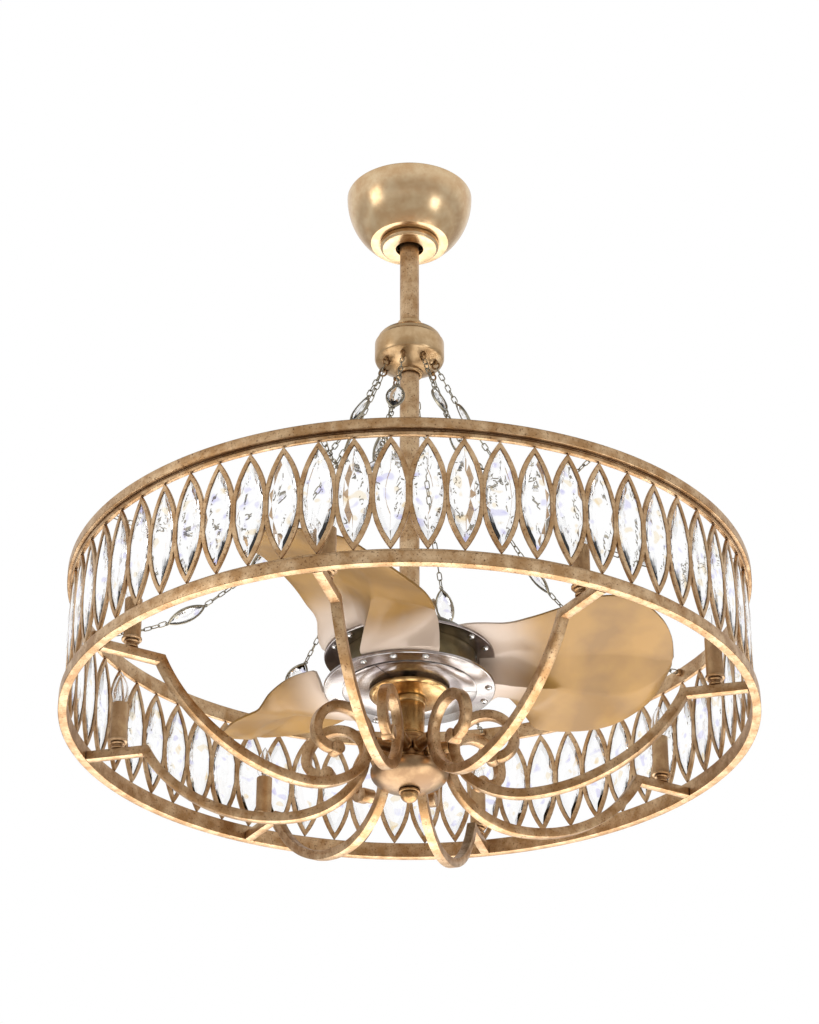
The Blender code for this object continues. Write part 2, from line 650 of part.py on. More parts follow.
    cover = [
        (SHAFT_R + RUNNING_GAP, COVER_BOTTOM),
        (COVER_R - COVER_THICK, COVER_BOTTOM),
        (COVER_R, COVER_BOTTOM + COVER_THICK),
        (SHAFT_R + RUNNING_GAP, COVER_BOTTOM + COVER_THICK),
    ]
    rotor_cover = show("rotor_cover", turned("rotor_cover", cover, MOTOR_STEPS), silver)
    seam_low = (-COVER_SEAM / 2, -COVER_R - OVERRUN, COVER_BOTTOM - OVERRUN)
    seam = block("seam", seam_low, (COVER_SEAM / 2, -BEARING_R, COVER_BOTTOM + COVER_THICK / 2))
    combine(rotor_cover, around(seam, blade_turns, "cover_seams"), "DIFFERENCE")


def build_blades(golden):
    """A sheet whose section is stepped between the motor's rims and opens out into a pitched paddle."""
    low_root = PLATE_TOP + FIT + BLADE_THICK / 2
    rise = RIM_Z - FIT - BLADE_THICK / 2 - low_root
    reach = BLADE_TIP_R - BLADE_ROOT_R
    degrees = (HIGH_EDGE_DEGS, STEP_TOP_DEGS, STEP_FOOT_DEGS, LOW_EDGE_DEGS)
    lines = (*degrees, HIGH_RISE_SHARES, LOW_RISE_SHARES)
    bm = bmesh.new()
    grid = []
    for share in BLADE_ROW_SHARES:
        at_row = [smooth_through(BLADE_REACH_SHARES, line, share) for line in lines]
        high, top, foot, low, high_rise, low_rise = at_row
        opened = min(OPEN_MOST_SHARE, max(0.0, (share - OPEN_FROM_SHARE) / OPEN_OVER_SHARE))
        top_rise = high_rise + opened * (low_rise - high_rise) * (top - high) / (low - high)
        foot_rise = low_rise + opened * (high_rise - low_rise) * (low - foot) / (low - high)
        stations = [(high, high_rise), ((high + top) / 2, (high_rise + top_rise) / 2), (top, top_rise)]
        for across, down in STEP_EASE_SHARES:
            stations.append((top + (foot - top) * across, top_rise + (foot_rise - top_rise) * down))
        stations += [(foot, foot_rise), ((foot + low) / 2, (foot_rise + low_rise) / 2), (low, low_rise)]
        radius = BLADE_ROOT_R + reach * share
        row = []
        for angle, height in stations:
            turn = math.radians(angle)
            place = (radius * math.sin(turn), -radius * math.cos(turn), low_root + rise * height)
            row.append(bm.verts.new(place))
        grid.append(row)
    for a, b in zip(grid, grid[1:]):
        for i in range(len(a) - 1):
            bm.faces.new((a[i], a[i + 1], b[i + 1], b[i]))
    mesh = mesh_from(bm, "blade")
    for index in range(BLADES):
        turn = math.radians(BLADE_TURN_DEG + 360.0 * index / BLADES)
        blade = show(f"blade_{index + 1}", mesh, golden, turn)
        sheet = blade.modifiers.new("sheet", "SOLIDIFY")
        sheet.thickness = BLADE_THICK
        sheet.offset = 0.0
        sheet.use_even_offset = True


def build_light_column(brass, champagne):
    """The switch dish, the column, the collar with its bosses, the bowl under it and the finial."""
    dish_bottom = DISH_TOP - DISH_HEIGHT
    dish_inner = DISH_R - DISH_WALL
    dish = [
        (SHAFT_R + FIT, dish_bottom),
        (DISH_R / 2, dish_bottom),
        (DISH_R, DISH_TOP - DISH_HEIGHT / 2),
        (DISH_R, DISH_TOP),
        (dish_inner, DISH_TOP),
        (dish_inner, DISH_TOP - DISH_HEIGHT / 2 + DISH_WALL / 2),
        (DISH_R / 2, dish_bottom + DISH_WALL),
        (SHAFT_R + FIT, dish_bottom + DISH_WALL),
    ]
    show("switch_dish", turned("switch_dish", dish, BOWL_STEPS), brass)

    column_bottom = COLUMN_TOP - COLUMN_LENGTH
    socket = SHAFT_R + FIT
    stud_bore = STUD_R + FIT
    stud_top = column_bottom + COLUMN_SOCKET
    column = [
        (stud_bore, column_bottom),
        (COLUMN_RING_R, column_bottom),
        (COLUMN_RING_R, column_bottom + COLUMN_RING),
        (COLUMN_R - FIT, column_bottom + COLUMN_RING),
        (COLUMN_R, COLUMN_TOP),
        (socket, COLUMN_TOP),
        (socket, COLUMN_TOP - COLUMN_SOCKET),
        (0.0, COLUMN_TOP - COLUMN_SOCKET),
        (0.0, stud_top),
        (stud_bore, stud_top),
    ]
    show("light_column", turned("light_column", column, PIPE_STEPS), brass)

    collar = [
        (stud_bore, BLOCK_BOTTOM),
        (BLOCK_R, BLOCK_BOTTOM),
        (BLOCK_R, BLOCK_TOP),
        (stud_bore, BLOCK_TOP),
    ]
    arm_collar = show("arm_collar", turned("arm_collar", collar, PIPE_STEPS), brass)
    boss_ends = (at_arm(BLOCK_R - BOSS_WALL, ARM_Z), at_arm(ARM_HUB_R - BAR / 2 - FIT, ARM_Z))
    boss = rod_between("boss", BOSS_R, *boss_ends, BOSS_SIDES)
    turns = [2 * math.pi * i / ARMS for i in range(ARMS)]
    combine(arm_collar, around(boss, turns, "collar_bosses"), "UNION")

    def bowl(radius, height):
        return arc((0.0, BOWL_TOP), radius, 0.0, -90.0, BOWL_BENDS, height / radius)

    outside = [(r, z) for r, z in bowl(BOWL_R, BOWL_HEIGHT) if r > stud_bore]
    inside = [(r, z) for r, z in bowl(BOWL_R - BOWL_WALL, BOWL_HEIGHT - BOWL_WALL) if r > stud_bore]
    foot = [(stud_bore, BOWL_BOTTOM), (stud_bore, BOWL_BOTTOM + BOWL_WALL)]
    show("bottom_bowl", turned("bottom_bowl", outside + foot + inside[::-1], BOWL_STEPS), champagne)

    top = BOWL_BOTTOM - FIT
    button_r = FINIAL_R * FINIAL_BUTTON_SHARES[0]
    button_height = FINIAL_HEIGHT * FINIAL_BUTTON_SHARES[1]
    button_z = top - FINIAL_HEIGHT + button_height
    button = arc((0.0, button_z), button_r, -90.0, 0.0, BOWL_BENDS, button_height / button_r)
    finial = [
        (0.0, top - FINIAL_HEIGHT),
        *button[1:],
        (button_r - FINIAL_GROOVE, button_z + FINIAL_GROOVE),
        (FINIAL_R, button_z + FINIAL_GROOVE),
        (FINIAL_R, top),
        (STUD_R, top),
        (STUD_R, stud_top - FIT),
        (0.0, stud_top - FIT),
    ]
    show("finial", turned("finial", finial, SMALL_STEPS), champagne)


def arm_path():
    """(radius, height) of the bar's middle, from the hoop down and round the scroll to its curl."""
    end = (HOOP_FLAT_R - FIT, LEVEL_Z)
    kink = Vector((KINK_R, LEVEL_Z))
    foot = Vector((ARM_HUB_R + SWEEP_REACH, ARM_Z - SWEEP_DROP))
    run = foot - kink
    handle_out = Vector((kink.x + run.x * RISE_REACH_SHARES[0], kink.y + run.y * RISE_SHARES[1]))
    handle_in = Vector((foot.x - run.x * RISE_REACH_SHARES[1], foot.y))
    rise = []
    for i in range(RISE_BENDS + 1):
        t = i / RISE_BENDS
        outer = kink * (1 - t) ** 3 + handle_out * 3 * t * (1 - t) ** 2
        inner = handle_in * 3 * t**2 * (1 - t) + foot * t**3
        rise.append(outer + inner)
    sweep = arc((foot.x, ARM_Z), SWEEP_REACH, 270.0, 180.0, SWEEP_BENDS, SWEEP_DROP / SWEEP_REACH)
    loop = arc((ARM_HUB_R + LOOP_R, ARM_Z), LOOP_R, 180.0, 0.0, LOOP_BENDS)
    curl = arc((ARM_HUB_R + 2 * LOOP_R - CURL_R, ARM_Z), CURL_R, 0.0, -90.0, CURL_BENDS)
    return [Vector(point) for point in (end, *rise, *sweep[1:], *loop[1:], *curl[1:])]


def build_arms(gold):
    """Square bar with a mitred kink where it leaves the level stretch. The scroll ends in a coin."""
    path = arm_path()
    half = BAR / 2
    sections = []
    for i, point in enumerate(path):
        before = (point - path[i - 1]).normalized() if i else (path[1] - point).normalized()
        after = (path[i + 1] - point).normalized() if i < len(path) - 1 else before
        along = (before + after).normalized()
        normal = Vector((-along.y, along.x)) * half / max(MITRE_LEAST_SHARE, along.dot(after))
        corners = ((normal, half), (-normal, half), (-normal, -half), (normal, -half))
        sections.append([at_arm(*(point + offset), side) for offset, side in corners])
    bar = show("arm_bar", swept("arm_bar", sections), gold)
    coin = path[-1] - Vector((COIN_R * COIN_INSET_SHARE, 0.0))
    coin_half = COIN_WIDTH / 2
    ends = (at_arm(coin.x, coin.y, -coin_half), at_arm(coin.x, coin.y, coin_half))
    combine(bar, rod_between("coin", COIN_R, *ends, COIN_SIDES), "UNION")
    bpy.context.view_layer.update()
    mesh = bpy.data.meshes.new_from_object(bar.evaluated_get(bpy.context.evaluated_depsgraph_get()))
    bpy.data.objects.remove(bar)
    for index in range(ARMS):
        show(f"arm_{index + 1}", mesh, gold, 2 * math.pi * index / ARMS)


def build_hoops(gold):
    """Rolled hoops with a stepped lip, flat where the arms meet them. The upper one has the chain hooks."""
    band = HOOP_BOTTOM + HOOP_BAND
    lower = [
        (HOOP_INNER_R, HOOP_BOTTOM),
        (HOOP_R, HOOP_BOTTOM),
        (HOOP_R, band),
        (LIP_R, band),
        (LIP_R, band + LIP_HEIGHT),
        (HOOP_INNER_R, band + LIP_HEIGHT),
    ]
    show("lower_hoop", turned("lower_hoop", lower, CELLS, 0.5), gold)
    lip = UPPER_HOOP_BOTTOM + UPPER_LIP_HEIGHT
    top = lip + UPPER_HOOP_BAND
    upper = [
        (HOOP_INNER_R, UPPER_HOOP_BOTTOM),
        (LIP_R, UPPER_HOOP_BOTTOM),
        (LIP_R, lip),
        (UPPER_HOOP_R, lip),
        (UPPER_HOOP_R, top),
        (HOOP_INNER_R, top),
    ]
    hoop = show("upper_hoop", turned("upper_hoop", upper, CELLS, 0.5), gold)
    middle = UPPER_HOOP_BOTTOM + CHAIN_END_RISE
    low = (-HOOK_WIDTH / 2, -HOOP_INNER_R - FIT, middle - HOOK_HEIGHT / 2)
    high = (HOOK_WIDTH / 2, -HOOP_FLAT_R + HOOK_REACH, middle + HOOK_HEIGHT / 2)
    turns = [2 * math.pi * i / ARMS for i in range(ARMS)]
    combine(hoop, around(block("hook", low, high), turns, "hoop_hooks"), "UNION")


def build_lattice(gold):
    """64 marquises side by side, as one closed skin: framed crystals outside, and their facets inside."""
    middle_r = (HOOP_INNER_R + LIP_R) / 2
    half = CELL_TURN / 2
    bar = LATTICE_BAR / middle_r
    tip = LATTICE_BAR * TIP_BAR_SHARE
    shoulder = LATTICE_BAR * SHOULDER_BAR_SHARE
    middle_z = LATTICE_HEIGHT / 2
    # Each line goes up the left side of a marquise from its foot, in (across, height)
    outer_left = [(-half * width, LATTICE_HEIGHT * height) for width, height in MARQUISE_SHARES]
    inner_left = []
    for x, z in outer_left:
        lift = 0.0 if x == -half else math.copysign(shoulder, middle_z - z)
        inner_left.append((x + bar, z + lift))

    def whole(left, inset):
        return [(0.0, inset), *left, (0.0, LATTICE_HEIGHT - inset), *[(-x, z) for x, z in left[::-1]]]

    outer = whole(outer_left, 0.0)
    inner = whole(inner_left, tip)
    ridge_low = (0.0, LATTICE_HEIGHT * CRYSTAL_RIDGE_SHARE)
    ridge_high = (0.0, LATTICE_HEIGHT * (1 - CRYSTAL_RIDGE_SHARE))
    outside_r = middle_r + LATTICE_DEPTH / 2
    inside_r = middle_r - LATTICE_DEPTH / 2
    bm = bmesh.new()
    shared = {}

    def vert(cell, x, z, r):
        turn = (cell * CELL_TURN + x) % (2 * math.pi)
        key = (round(turn / bar * len(outer)), round(z / FIT), round(r / FIT))
        if key not in shared:
            shared[key] = bm.verts.new((r * math.sin(turn), -r * math.cos(turn), LATTICE_BOTTOM + z))
        return shared[key]

    def facets(cell, edge, a, b, r, peak_r):
        """The crystal's face between two points of its edge, up to the ridge."""
        ends = [ridge_low if edge[k][1] < middle_z else ridge_high for k in (b, a)]
        corners = [vert(cell, *edge[k], r) for k in (a, b)]
        corners += [vert(cell, *end, peak_r) for end in ends]
        bm.faces.new(list(dict.fromkeys(corners)))

    for cell in range(CELLS):
        for a in range(len(outer)):
            b = (a + 1) % len(outer)
            rim = [vert(cell, *outer[k], outside_r) for k in (a, b)]
            lens = [vert(cell, *inner[k], outside_r) for k in (b, a)]
            bm.faces.new(rim + lens)
            facets(cell, inner, a, b, outside_r, outside_r + CRYSTAL_PROUD)
            facets(cell, outer, a, b, inside_r, inside_r - CRYSTAL_PROUD)
            if abs(outer[a][0]) < half or abs(outer[b][0]) < half:
                bm.faces.new([*rim, *[vert(cell, *outer[k], inside_r) for k in (b, a)]])
    show("lattice", mesh_from(bm, "lattice"), gold)


def build_candles(paint, glass):
    """A cup with a painted sleeve over its lamp holder, and a torpedo bulb that screws into the holder."""
    base = LEVEL_Z + BAR / 2 + FIT
    cup_top = base + CUP_HEIGHT
    top = cup_top + SLEEVE_HEIGHT
    candle = [
        (0.0, base),
        (CANDLE_NECK_R, base),
        (CANDLE_NECK_R, base + CUP_HEIGHT / 3),
        (CUP_R, cup_top - CUP_HEIGHT / 4),
        (CUP_R, cup_top),
        (SLEEVE_R, cup_top),
        (SLEEVE_R, top),
        (SOCKET_R, top),
        (SOCKET_R, top - SOCKET_DEPTH),
        (0.0, top - SOCKET_DEPTH),
    ]
    candle_mesh = turned("candle", candle, CANDLE_SIDES)
    foot = top - SOCKET_DEPTH + FIT
    bulb = [
        (0.0, foot),
        (BULB_BASE_R, foot),
        (BULB_BASE_R, top + FIT),
        *[(BULB_R * r, foot + BULB_HEIGHT * z) for r, z in BULB_SHARES],
        (0.0, foot + BULB_HEIGHT),
    ]
    bulb_mesh = turned("bulb", bulb, CANDLE_SIDES)
    for index in range(ARMS):
        turn = 2 * math.pi * index / ARMS
        place = Matrix.Rotation(turn, 3, "Z") @ at_arm(CANDLE_AT_R, 0.0)
        show(f"candle_{index + 1}", candle_mesh, paint, turn, place)
        show(f"bulb_{index + 1}", bulb_mesh, glass, turn, place)


def build_chains(pewter):
    """Each chain hangs in a catenary, with three framed crystals in it. Its links turn a quarter each."""
    eye_r, eye_z = hub_eye()
    end_r = HOOP_FLAT_R - HOOK_REACH - FIT
    end_z = UPPER_HOOP_BOTTOM + CHAIN_END_RISE
    drop = eye_z - EYE_R - end_z

    def drop_of(sag):
        return sag * (math.cosh((CHAIN_LOW_R - eye_r) / sag) - math.cosh((end_r - CHAIN_LOW_R) / sag))

    tight, loose = drop / 4, drop * 4
    sag = drop
    while loose - tight > FIT / CELLS:
        sag = (tight + loose) / 2
        if drop_of(sag) > drop:
            tight = sag
        else:
            loose = sag
    slope = math.sinh((CHAIN_LOW_R - eye_r) / sag)
    steep = Vector((1.0, -slope)).normalized()
    start = Vector((eye_r, eye_z)) + steep * (EYE_R + EYE_WIRE_R + FIT)

    def length_at(r):
        return sag * math.sinh((r - CHAIN_LOW_R) / sag)

    base = length_at(start.x)
    whole = length_at(end_r) - base
    ground = end_z - sag * math.cosh((end_r - CHAIN_LOW_R) / sag)

    pendants = [(SMALL_PENDANT_AT_SHARE * whole, SMALL_PENDANT_LENGTH)]
    pendants += [(share * whole, PENDANT_LENGTH) for share in PENDANT_AT_SHARES]
    stations = [(0.0, LINK_THIN, LINK_THIN)]
    reached = 0.0
    for middle, length in [*pendants, (whole, 0.0)]:
        run = middle - length / 2 - reached
        links = max(1, round(run / LINK_PITCH))
        for k in range(links):
            sizes = (LINK_WIDE, LINK_THIN) if k % 2 == 0 else (LINK_THIN, LINK_WIDE)
            stations.append((reached + run * (k + 0.5) / links, *sizes))
        for k, share in enumerate(PENDANT_WIDTH_SHARES if length else ()):
            tip = length * (0.5 - PENDANT_TIP_SHARE)
            along = middle + tip * (2 * k / (len(PENDANT_WIDTH_SHARES) - 1) - 1)
            wide = PENDANT_WIDE * share * length / PENDANT_LENGTH
            stations.append((along, wide, max(LINK_THIN, PENDANT_THICK * share)))
        reached = middle + length / 2
    stations.append((whole, LINK_THIN, LINK_THIN))

    sections = []
    for along, across, deep in stations:
        r = CHAIN_LOW_R + sag * math.asinh((base + along) / sag)
        middle = Vector((r, ground + sag * math.cosh((r - CHAIN_LOW_R) / sag)))
        tangent = Vector((1.0, math.sinh((r - CHAIN_LOW_R) / sag))).normalized()
        normal = Vector((-tangent.y, tangent.x)) * deep / 2
        half = across / 2
        corners = ((normal, half), (-normal, half), (-normal, -half), (normal, -half))
        sections.append([at_arm(*(middle + offset), side) for offset, side in corners])
    mesh = swept("chain", sections)
    for index in range(ARMS):
        show(f"chain_{index + 1}", mesh, pewter, 2 * math.pi * index / ARMS)


def main():
    for obj in list(bpy.data.objects):
        bpy.data.objects.remove(obj)
    steel = finish("zinc_plated_steel", (0.50, 0.50, 0.50), 0.35, 0.95)
    gold = finish("antique_gold_leaf", (0.42, 0.27, 0.15), 0.42, 0.9)
    champagne = finish("champagne_metal", (0.58, 0.44, 0.29), 0.30, 0.95)
    brass = finish("aged_brass", (0.46, 0.27, 0.11), 0.30, 1.0)
    silver = finish("satin_silver", (0.62, 0.60, 0.60), 0.28, 0.95)
    olive = finish("olive_painted_steel", (0.16, 0.14, 0.06), 0.45, 0.6)
    copper = finish("motor_copper", (0.50, 0.22, 0.10), 0.45, 0.8)
    golden = finish("metallic_blade_plastic", (0.55, 0.36, 0.18), 0.35, 0.4)
    paint = finish("gold_painted_sleeve", (0.42, 0.28, 0.15), 0.55, 0.5)
    glass = finish("clear_glass", (0.90, 0.92, 0.92), 0.05, 0.0, 0.35)
    pewter = finish("pewter_wire", (0.25, 0.24, 0.20), 0.40, 0.9)
    build_ceiling_bracket(steel)
    build_canopy(champagne)
    build_ball_and_rod(steel, gold)
    build_chain_hub(champagne)
    build_motor(steel, brass, copper, olive, silver)
    build_blades(golden)
    build_light_column(brass, champagne)
    build_arms(gold)
    build_hoops(gold)
    build_lattice(gold)
    build_candles(paint, glass)
    build_chains(pewter)


main()
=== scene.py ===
import math

import bmesh
import bpy
from mathutils import Matrix, Vector


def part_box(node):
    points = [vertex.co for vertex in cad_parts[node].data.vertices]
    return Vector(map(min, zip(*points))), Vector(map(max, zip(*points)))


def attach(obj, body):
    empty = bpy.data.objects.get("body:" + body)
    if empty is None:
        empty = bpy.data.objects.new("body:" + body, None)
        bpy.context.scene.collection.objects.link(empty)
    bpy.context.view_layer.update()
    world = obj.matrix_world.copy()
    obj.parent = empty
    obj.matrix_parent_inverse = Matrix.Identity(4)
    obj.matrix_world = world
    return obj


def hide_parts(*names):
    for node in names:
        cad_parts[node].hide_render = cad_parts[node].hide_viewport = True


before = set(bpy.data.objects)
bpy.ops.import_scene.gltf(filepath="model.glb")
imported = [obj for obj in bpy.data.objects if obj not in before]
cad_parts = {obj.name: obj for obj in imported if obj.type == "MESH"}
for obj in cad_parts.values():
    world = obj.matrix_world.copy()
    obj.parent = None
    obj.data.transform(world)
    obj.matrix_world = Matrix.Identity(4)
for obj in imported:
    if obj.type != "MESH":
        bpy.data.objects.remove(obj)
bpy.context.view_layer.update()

# Studio
# A pale floor a room's height under the ceiling, a soft box that lights the fan from below, two small ones
# at its sides, and a white surround whose light softens at eye level and straight up and down.
FLOOR_Z = -2.60
FLOOR_HALF = 9.0
FLOOR_GREY = "EDEBE8"
HORIZON_LEVEL, HORIZON_FROM, HORIZON_TO = 0.60, 0.05, 0.36
POLE_LEVEL, POLE_FROM, POLE_TO = 0.20, 0.66, 0.92
BOX_LAMPS = (  # name, place, what it aims at, side, watts
    ("floor_soft_box", (0.0, 1.5, -2.3), (0.0, 1.5, 0.0), 4.0, 150.0),
    ("left_soft_box", (-2.6, -2.2, -0.2), (0.0, 0.0, -0.6), 1.2, 14.0),
    ("right_soft_box", (2.9, -1.2, -1.2), (0.0, 0.0, -0.6), 0.9, 9.0),
)


def linear(code):
    """An sRGB hex colour as linear red, green, blue and alpha."""
    parts = [int(code[i : i + 2], 16) / 255 for i in (0, 2, 4)]
    return (*[c / 12.92 if c <= 0.04045 else ((c + 0.055) / 1.055) ** 2.4 for c in parts], 1.0)


def add_node(tree, kind, inputs=None, out=0, **settings):
    """Adds a node and gives the socket it puts out. An input is set to a value, or linked to a socket."""
    made = tree.nodes.new(kind)
    for name, value in settings.items():
        setattr(made, name, value)
    for key, value in (inputs or {}).items():
        if isinstance(value, bpy.types.NodeSocket):
            tree.links.new(value, made.inputs[key])
        else:
            made.inputs[key].default_value = value
    return made.outputs[out] if made.outputs else None


def new_finish(name):
    """A new material, its node tree and its shader's inputs."""
    made = bpy.data.materials.new(name)
    made.use_nodes = True
    return made, made.node_tree, made.node_tree.nodes["Principled BSDF"].inputs


surround = bpy.data.worlds.new("studio_surround")
bpy.context.scene.world = surround
surround.use_nodes = True
tree = surround.node_tree
tree.nodes.clear()
way = add_node(tree, "ShaderNodeTexCoord", out="Generated")
rise = add_node(tree, "ShaderNodeSeparateXYZ", {"Vector": way}, "Z")
level = add_node(tree, "ShaderNodeMath", {0: rise}, operation="ABSOLUTE")
sides = {"Value": level, "From Min": HORIZON_FROM, "From Max": HORIZON_TO, "To Min": HORIZON_LEVEL}
side = add_node(tree, "ShaderNodeMapRange", sides, interpolation_type="SMOOTHSTEP")
poles = {"Value": level, "From Min": POLE_FROM, "From Max": POLE_TO, "To Min": 1.0, "To Max": POLE_LEVEL}
pole = add_node(tree, "ShaderNodeMapRange", poles, interpolation_type="SMOOTHSTEP")
soft = add_node(tree, "ShaderNodeMath", {0: side, 1: pole}, operation="MULTIPLY")
seen = add_node(tree, "ShaderNodeLightPath", out="Is Camera Ray")
strength = add_node(tree, "ShaderNodeMix", {0: seen, 2: soft, 3: 1.0})
light = add_node(tree, "ShaderNodeBackground", {"Color": (1.0, 1.0, 1.0, 1.0), "Strength": strength})
add_node(tree, "ShaderNodeOutputWorld", {"Surface": light})

for name, place, aim, side, watts in BOX_LAMPS:
    lamp = bpy.data.lights.new(name, "AREA")
    lamp.shape = "SQUARE"
    lamp.size = side
    lamp.energy = watts
    holder = bpy.data.objects.new(name, lamp)
    holder.location = place
    holder.rotation_euler = (Vector(aim) - Vector(place)).to_track_quat("-Z", "Y").to_euler()
    holder.visible_camera = False
    bpy.context.scene.collection.objects.link(holder)

# Matt paint, a little warm, that keeps its grey under the box lamp.
pale_paint, _, shader = new_finish("pale_floor_paint")
shader["Base Color"].default_value = linear(FLOOR_GREY)
shader["Roughness"].default_value = 0.8
floor_bm = bmesh.new()
bmesh.ops.create_grid(floor_bm, x_segments=2, y_segments=2, size=FLOOR_HALF)
floor_mesh = bpy.data.meshes.new("studio_floor")
floor_bm.to_mesh(floor_mesh)
floor_mesh.materials.append(pale_paint)
floor = bpy.data.objects.new("studio_floor", floor_mesh)
floor.location.z = FLOOR_Z
bpy.context.scene.collection.objects.link(floor)

# Camera
# It stands in front of the fan, nearly four metres off and well below it, and looks up. The lens is long,
# and the frame is the photograph's, 819 by 1024.
CAMERA_TURN_DEG = 14.1
CAMERA_RISE_DEG = -24.83
CAMERA_AWAY = 3.677
RING_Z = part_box("lower_hoop")[0].z
AIM_ABOVE_RING = 0.322
FOCAL_PIXELS = 2809.0
FRAME_PIXELS = 1024
SENSOR = 36.0

turn, below = math.radians(CAMERA_TURN_DEG), math.radians(CAMERA_RISE_DEG)
outward = Vector((math.sin(turn), -math.cos(turn), 0.0))
tripod = outward * CAMERA_AWAY * math.cos(below)
tripod.z = RING_Z + CAMERA_AWAY * math.sin(below)
aim = Vector((0.0, 0.0, RING_Z + AIM_ABOVE_RING))
lens = bpy.data.cameras.new("camera")
lens.sensor_fit = "VERTICAL"
lens.sensor_height = SENSOR
lens.lens = FOCAL_PIXELS * SENSOR / FRAME_PIXELS
lens.clip_end = 50.0
camera = bpy.data.objects.new("camera", lens)
camera.location = tripod
camera.rotation_euler = (aim - tripod).to_track_quat("-Z", "Y").to_euler()
bpy.context.scene.collection.objects.link(camera)
bpy.context.scene.camera = camera
bpy.context.scene.view_settings.view_transform = "Standard"

# Ceiling bracket, hanger ball and its cross pin
# Pressed and turned steel, zinc plated: a cool grey with the faint cloudy patches of bright zinc. The
# canopy hides them from below, and they keep their CAD shapes.
MM = 0.001
ZINC, ZINC_DARK = "B7B8B9", "9FA1A3"
ZINC_CLOUD = 16 * MM
SMOOTH_UNDER = math.radians(34.0)


def clouded(tree, size, low, high, detail, rough=0.5):
    """Noise with clouds of a real size, and how far it has gone from its low to its high level."""
    place = add_node(tree, "ShaderNodeTexCoord", out="Object")
    pattern = {"Vector": place, "Scale": 1 / size, "Detail": detail, "Roughness": rough}
    noise = add_node(tree, "ShaderNodeTexNoise", pattern)
    span = {"Value": noise, "From Min": low, "From Max": high}
    return noise, add_node(tree, "ShaderNodeMapRange", span)


def coated(name, main, other, cloud, roughness, metallic):
    """A clean coating on metal or plastic: one colour that drifts to another in clouds of a real size."""
    surface, tree, shader = new_finish(name)
    clouds, drift = clouded(tree, cloud, 0.40, 0.62, 4.0)
    tones = {0: drift, 6: linear(main), 7: linear(other)}
    colour = add_node(tree, "ShaderNodeMix", tones, 2, data_type="RGBA")
    tree.links.new(colour, shader["Base Color"])
    span = {"Value": clouds, "To Min": roughness * 0.8, "To Max": roughness * 1.2}
    gloss = add_node(tree, "ShaderNodeMapRange", span)
    tree.links.new(gloss, shader["Roughness"])
    shader["Metallic"].default_value = metallic
    return surface


def dress(node, finish):
    """Gives a part that keeps its CAD shape its real finish."""
    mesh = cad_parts[node].data
    mesh.materials.clear()
    mesh.materials.append(finish)
    mesh.shade_smooth()
    mesh.set_sharp_from_angle(angle=SMOOTH_UNDER)


zinc_plate = coated("zinc_plated_steel", ZINC, ZINC_DARK, ZINC_CLOUD, 0.36, 1.0)
for node in ("ceiling_bracket", "hanger_ball", "hanger_pin"):
    dress(node, zinc_plate)

# Canopy and its collar
# Spun steel in a champagne leaf: a smooth satin, with warm painted shade in its corners and few dark
# specks.
# The bowl closes flat round the rod, and the pressed collar under it trims the hole.
CHAMPAGNE_GLAZE_AND_SHADE = "6B4A2B"
CHAMPAGNE = ("C8A67D", "DAC09A", CHAMPAGNE_GLAZE_AND_SHADE)  # the leaf, where it is rubbed pale, and its glaze, which also paints shade in corners
CHAMPAGNE_GRAIN = 3.2 * MM
CANOPY_WALL = 1.5 * MM
CANOPY_CUT = 21 * MM
CANOPY_HOLE = 24 * MM
CANOPY_EASE = 2.5 * MM
COLLAR_HOLE = 19.6 * MM
COLLAR_LIP = 3.2 * MM
COLLAR_EASE = 0.6 * MM
CORNER_SHADE_REACH = 5 * MM  # how far from a corner the painted shade reaches
NEARLY_STRAIGHT = math.radians(155.0)


def leafed(name, leaf, pale, glaze, grain, bare, roughness, relief=0.3, metallic=1.0):
    """Metal leaf over a dark glaze: pale where rubbed, dark in glaze specks, with painted shade in the
    corners.

    grain is the size of a speck, drawn about ten times the leaf's real grit so that it shows, and bare is
    how readily the glaze shows, from -0.1 to 0.1.
    """
    surface, tree, shader = new_finish(name)
    _, rubbed = clouded(tree, 9 * grain, 0.40, 0.64, 5.0, 0.62)
    specks, speck = clouded(tree, grain, 0.60 - bare, 0.72 - bare, 5.0, 0.68)
    # Painted shade: ambient occlusion darkens the corners to the glaze colour.
    corner = add_node(tree, "ShaderNodeAmbientOcclusion", {"Distance": CORNER_SHADE_REACH}, "AO", samples=3)
    span = {"Value": corner, "From Min": 0.75, "From Max": 0.30}
    painted_corner_shade = add_node(tree, "ShaderNodeMapRange", span)
    shows = add_node(tree, "ShaderNodeMath", {0: speck, 1: painted_corner_shade}, operation="MAXIMUM")
    tones = {0: rubbed, 6: linear(leaf), 7: linear(pale)}
    worn = add_node(tree, "ShaderNodeMix", tones, 2, data_type="RGBA")
    tones = {0: shows, 6: worn, 7: linear(glaze)}
    colour = add_node(tree, "ShaderNodeMix", tones, 2, data_type="RGBA")
    tree.links.new(colour, shader["Base Color"])
    span = {"Value": shows, "To Min": roughness, "To Max": roughness + 0.22}
    gloss = add_node(tree, "ShaderNodeMapRange", span)
    tree.links.new(gloss, shader["Roughness"])
    grit = {"Height": specks, "Strength": relief, "Distance": 0.3 * MM}
    bump = add_node(tree, "ShaderNodeBump", grit)
    tree.links.new(bump, shader["Normal"])
    shader["Metallic"].default_value = metallic
    return surface


def eased(outline, radius, bends=3):
    """Rounds the corners of a closed outline. One that is nearly straight or on the axis stays."""
    rounded = []
    for i, point in enumerate(outline):
        corner = Vector(point)
        back = Vector(outline[i - 1]) - corner
        ahead = Vector(outline[(i + 1) % len(outline)]) - corner
        if corner.x == 0.0 or back.angle(ahead) > NEARLY_STRAIGHT:
            rounded.append(corner)
            continue
        cut = min(radius, back.length * 0.45, ahead.length * 0.45)
        start, end = corner + back.normalized() * cut, corner + ahead.normalized() * cut
        for k in range(bends + 1):
            t = k / bends
            rounded.append(start * (1 - t) ** 2 + corner * 2 * t * (1 - t) + end * t**2)
    return rounded


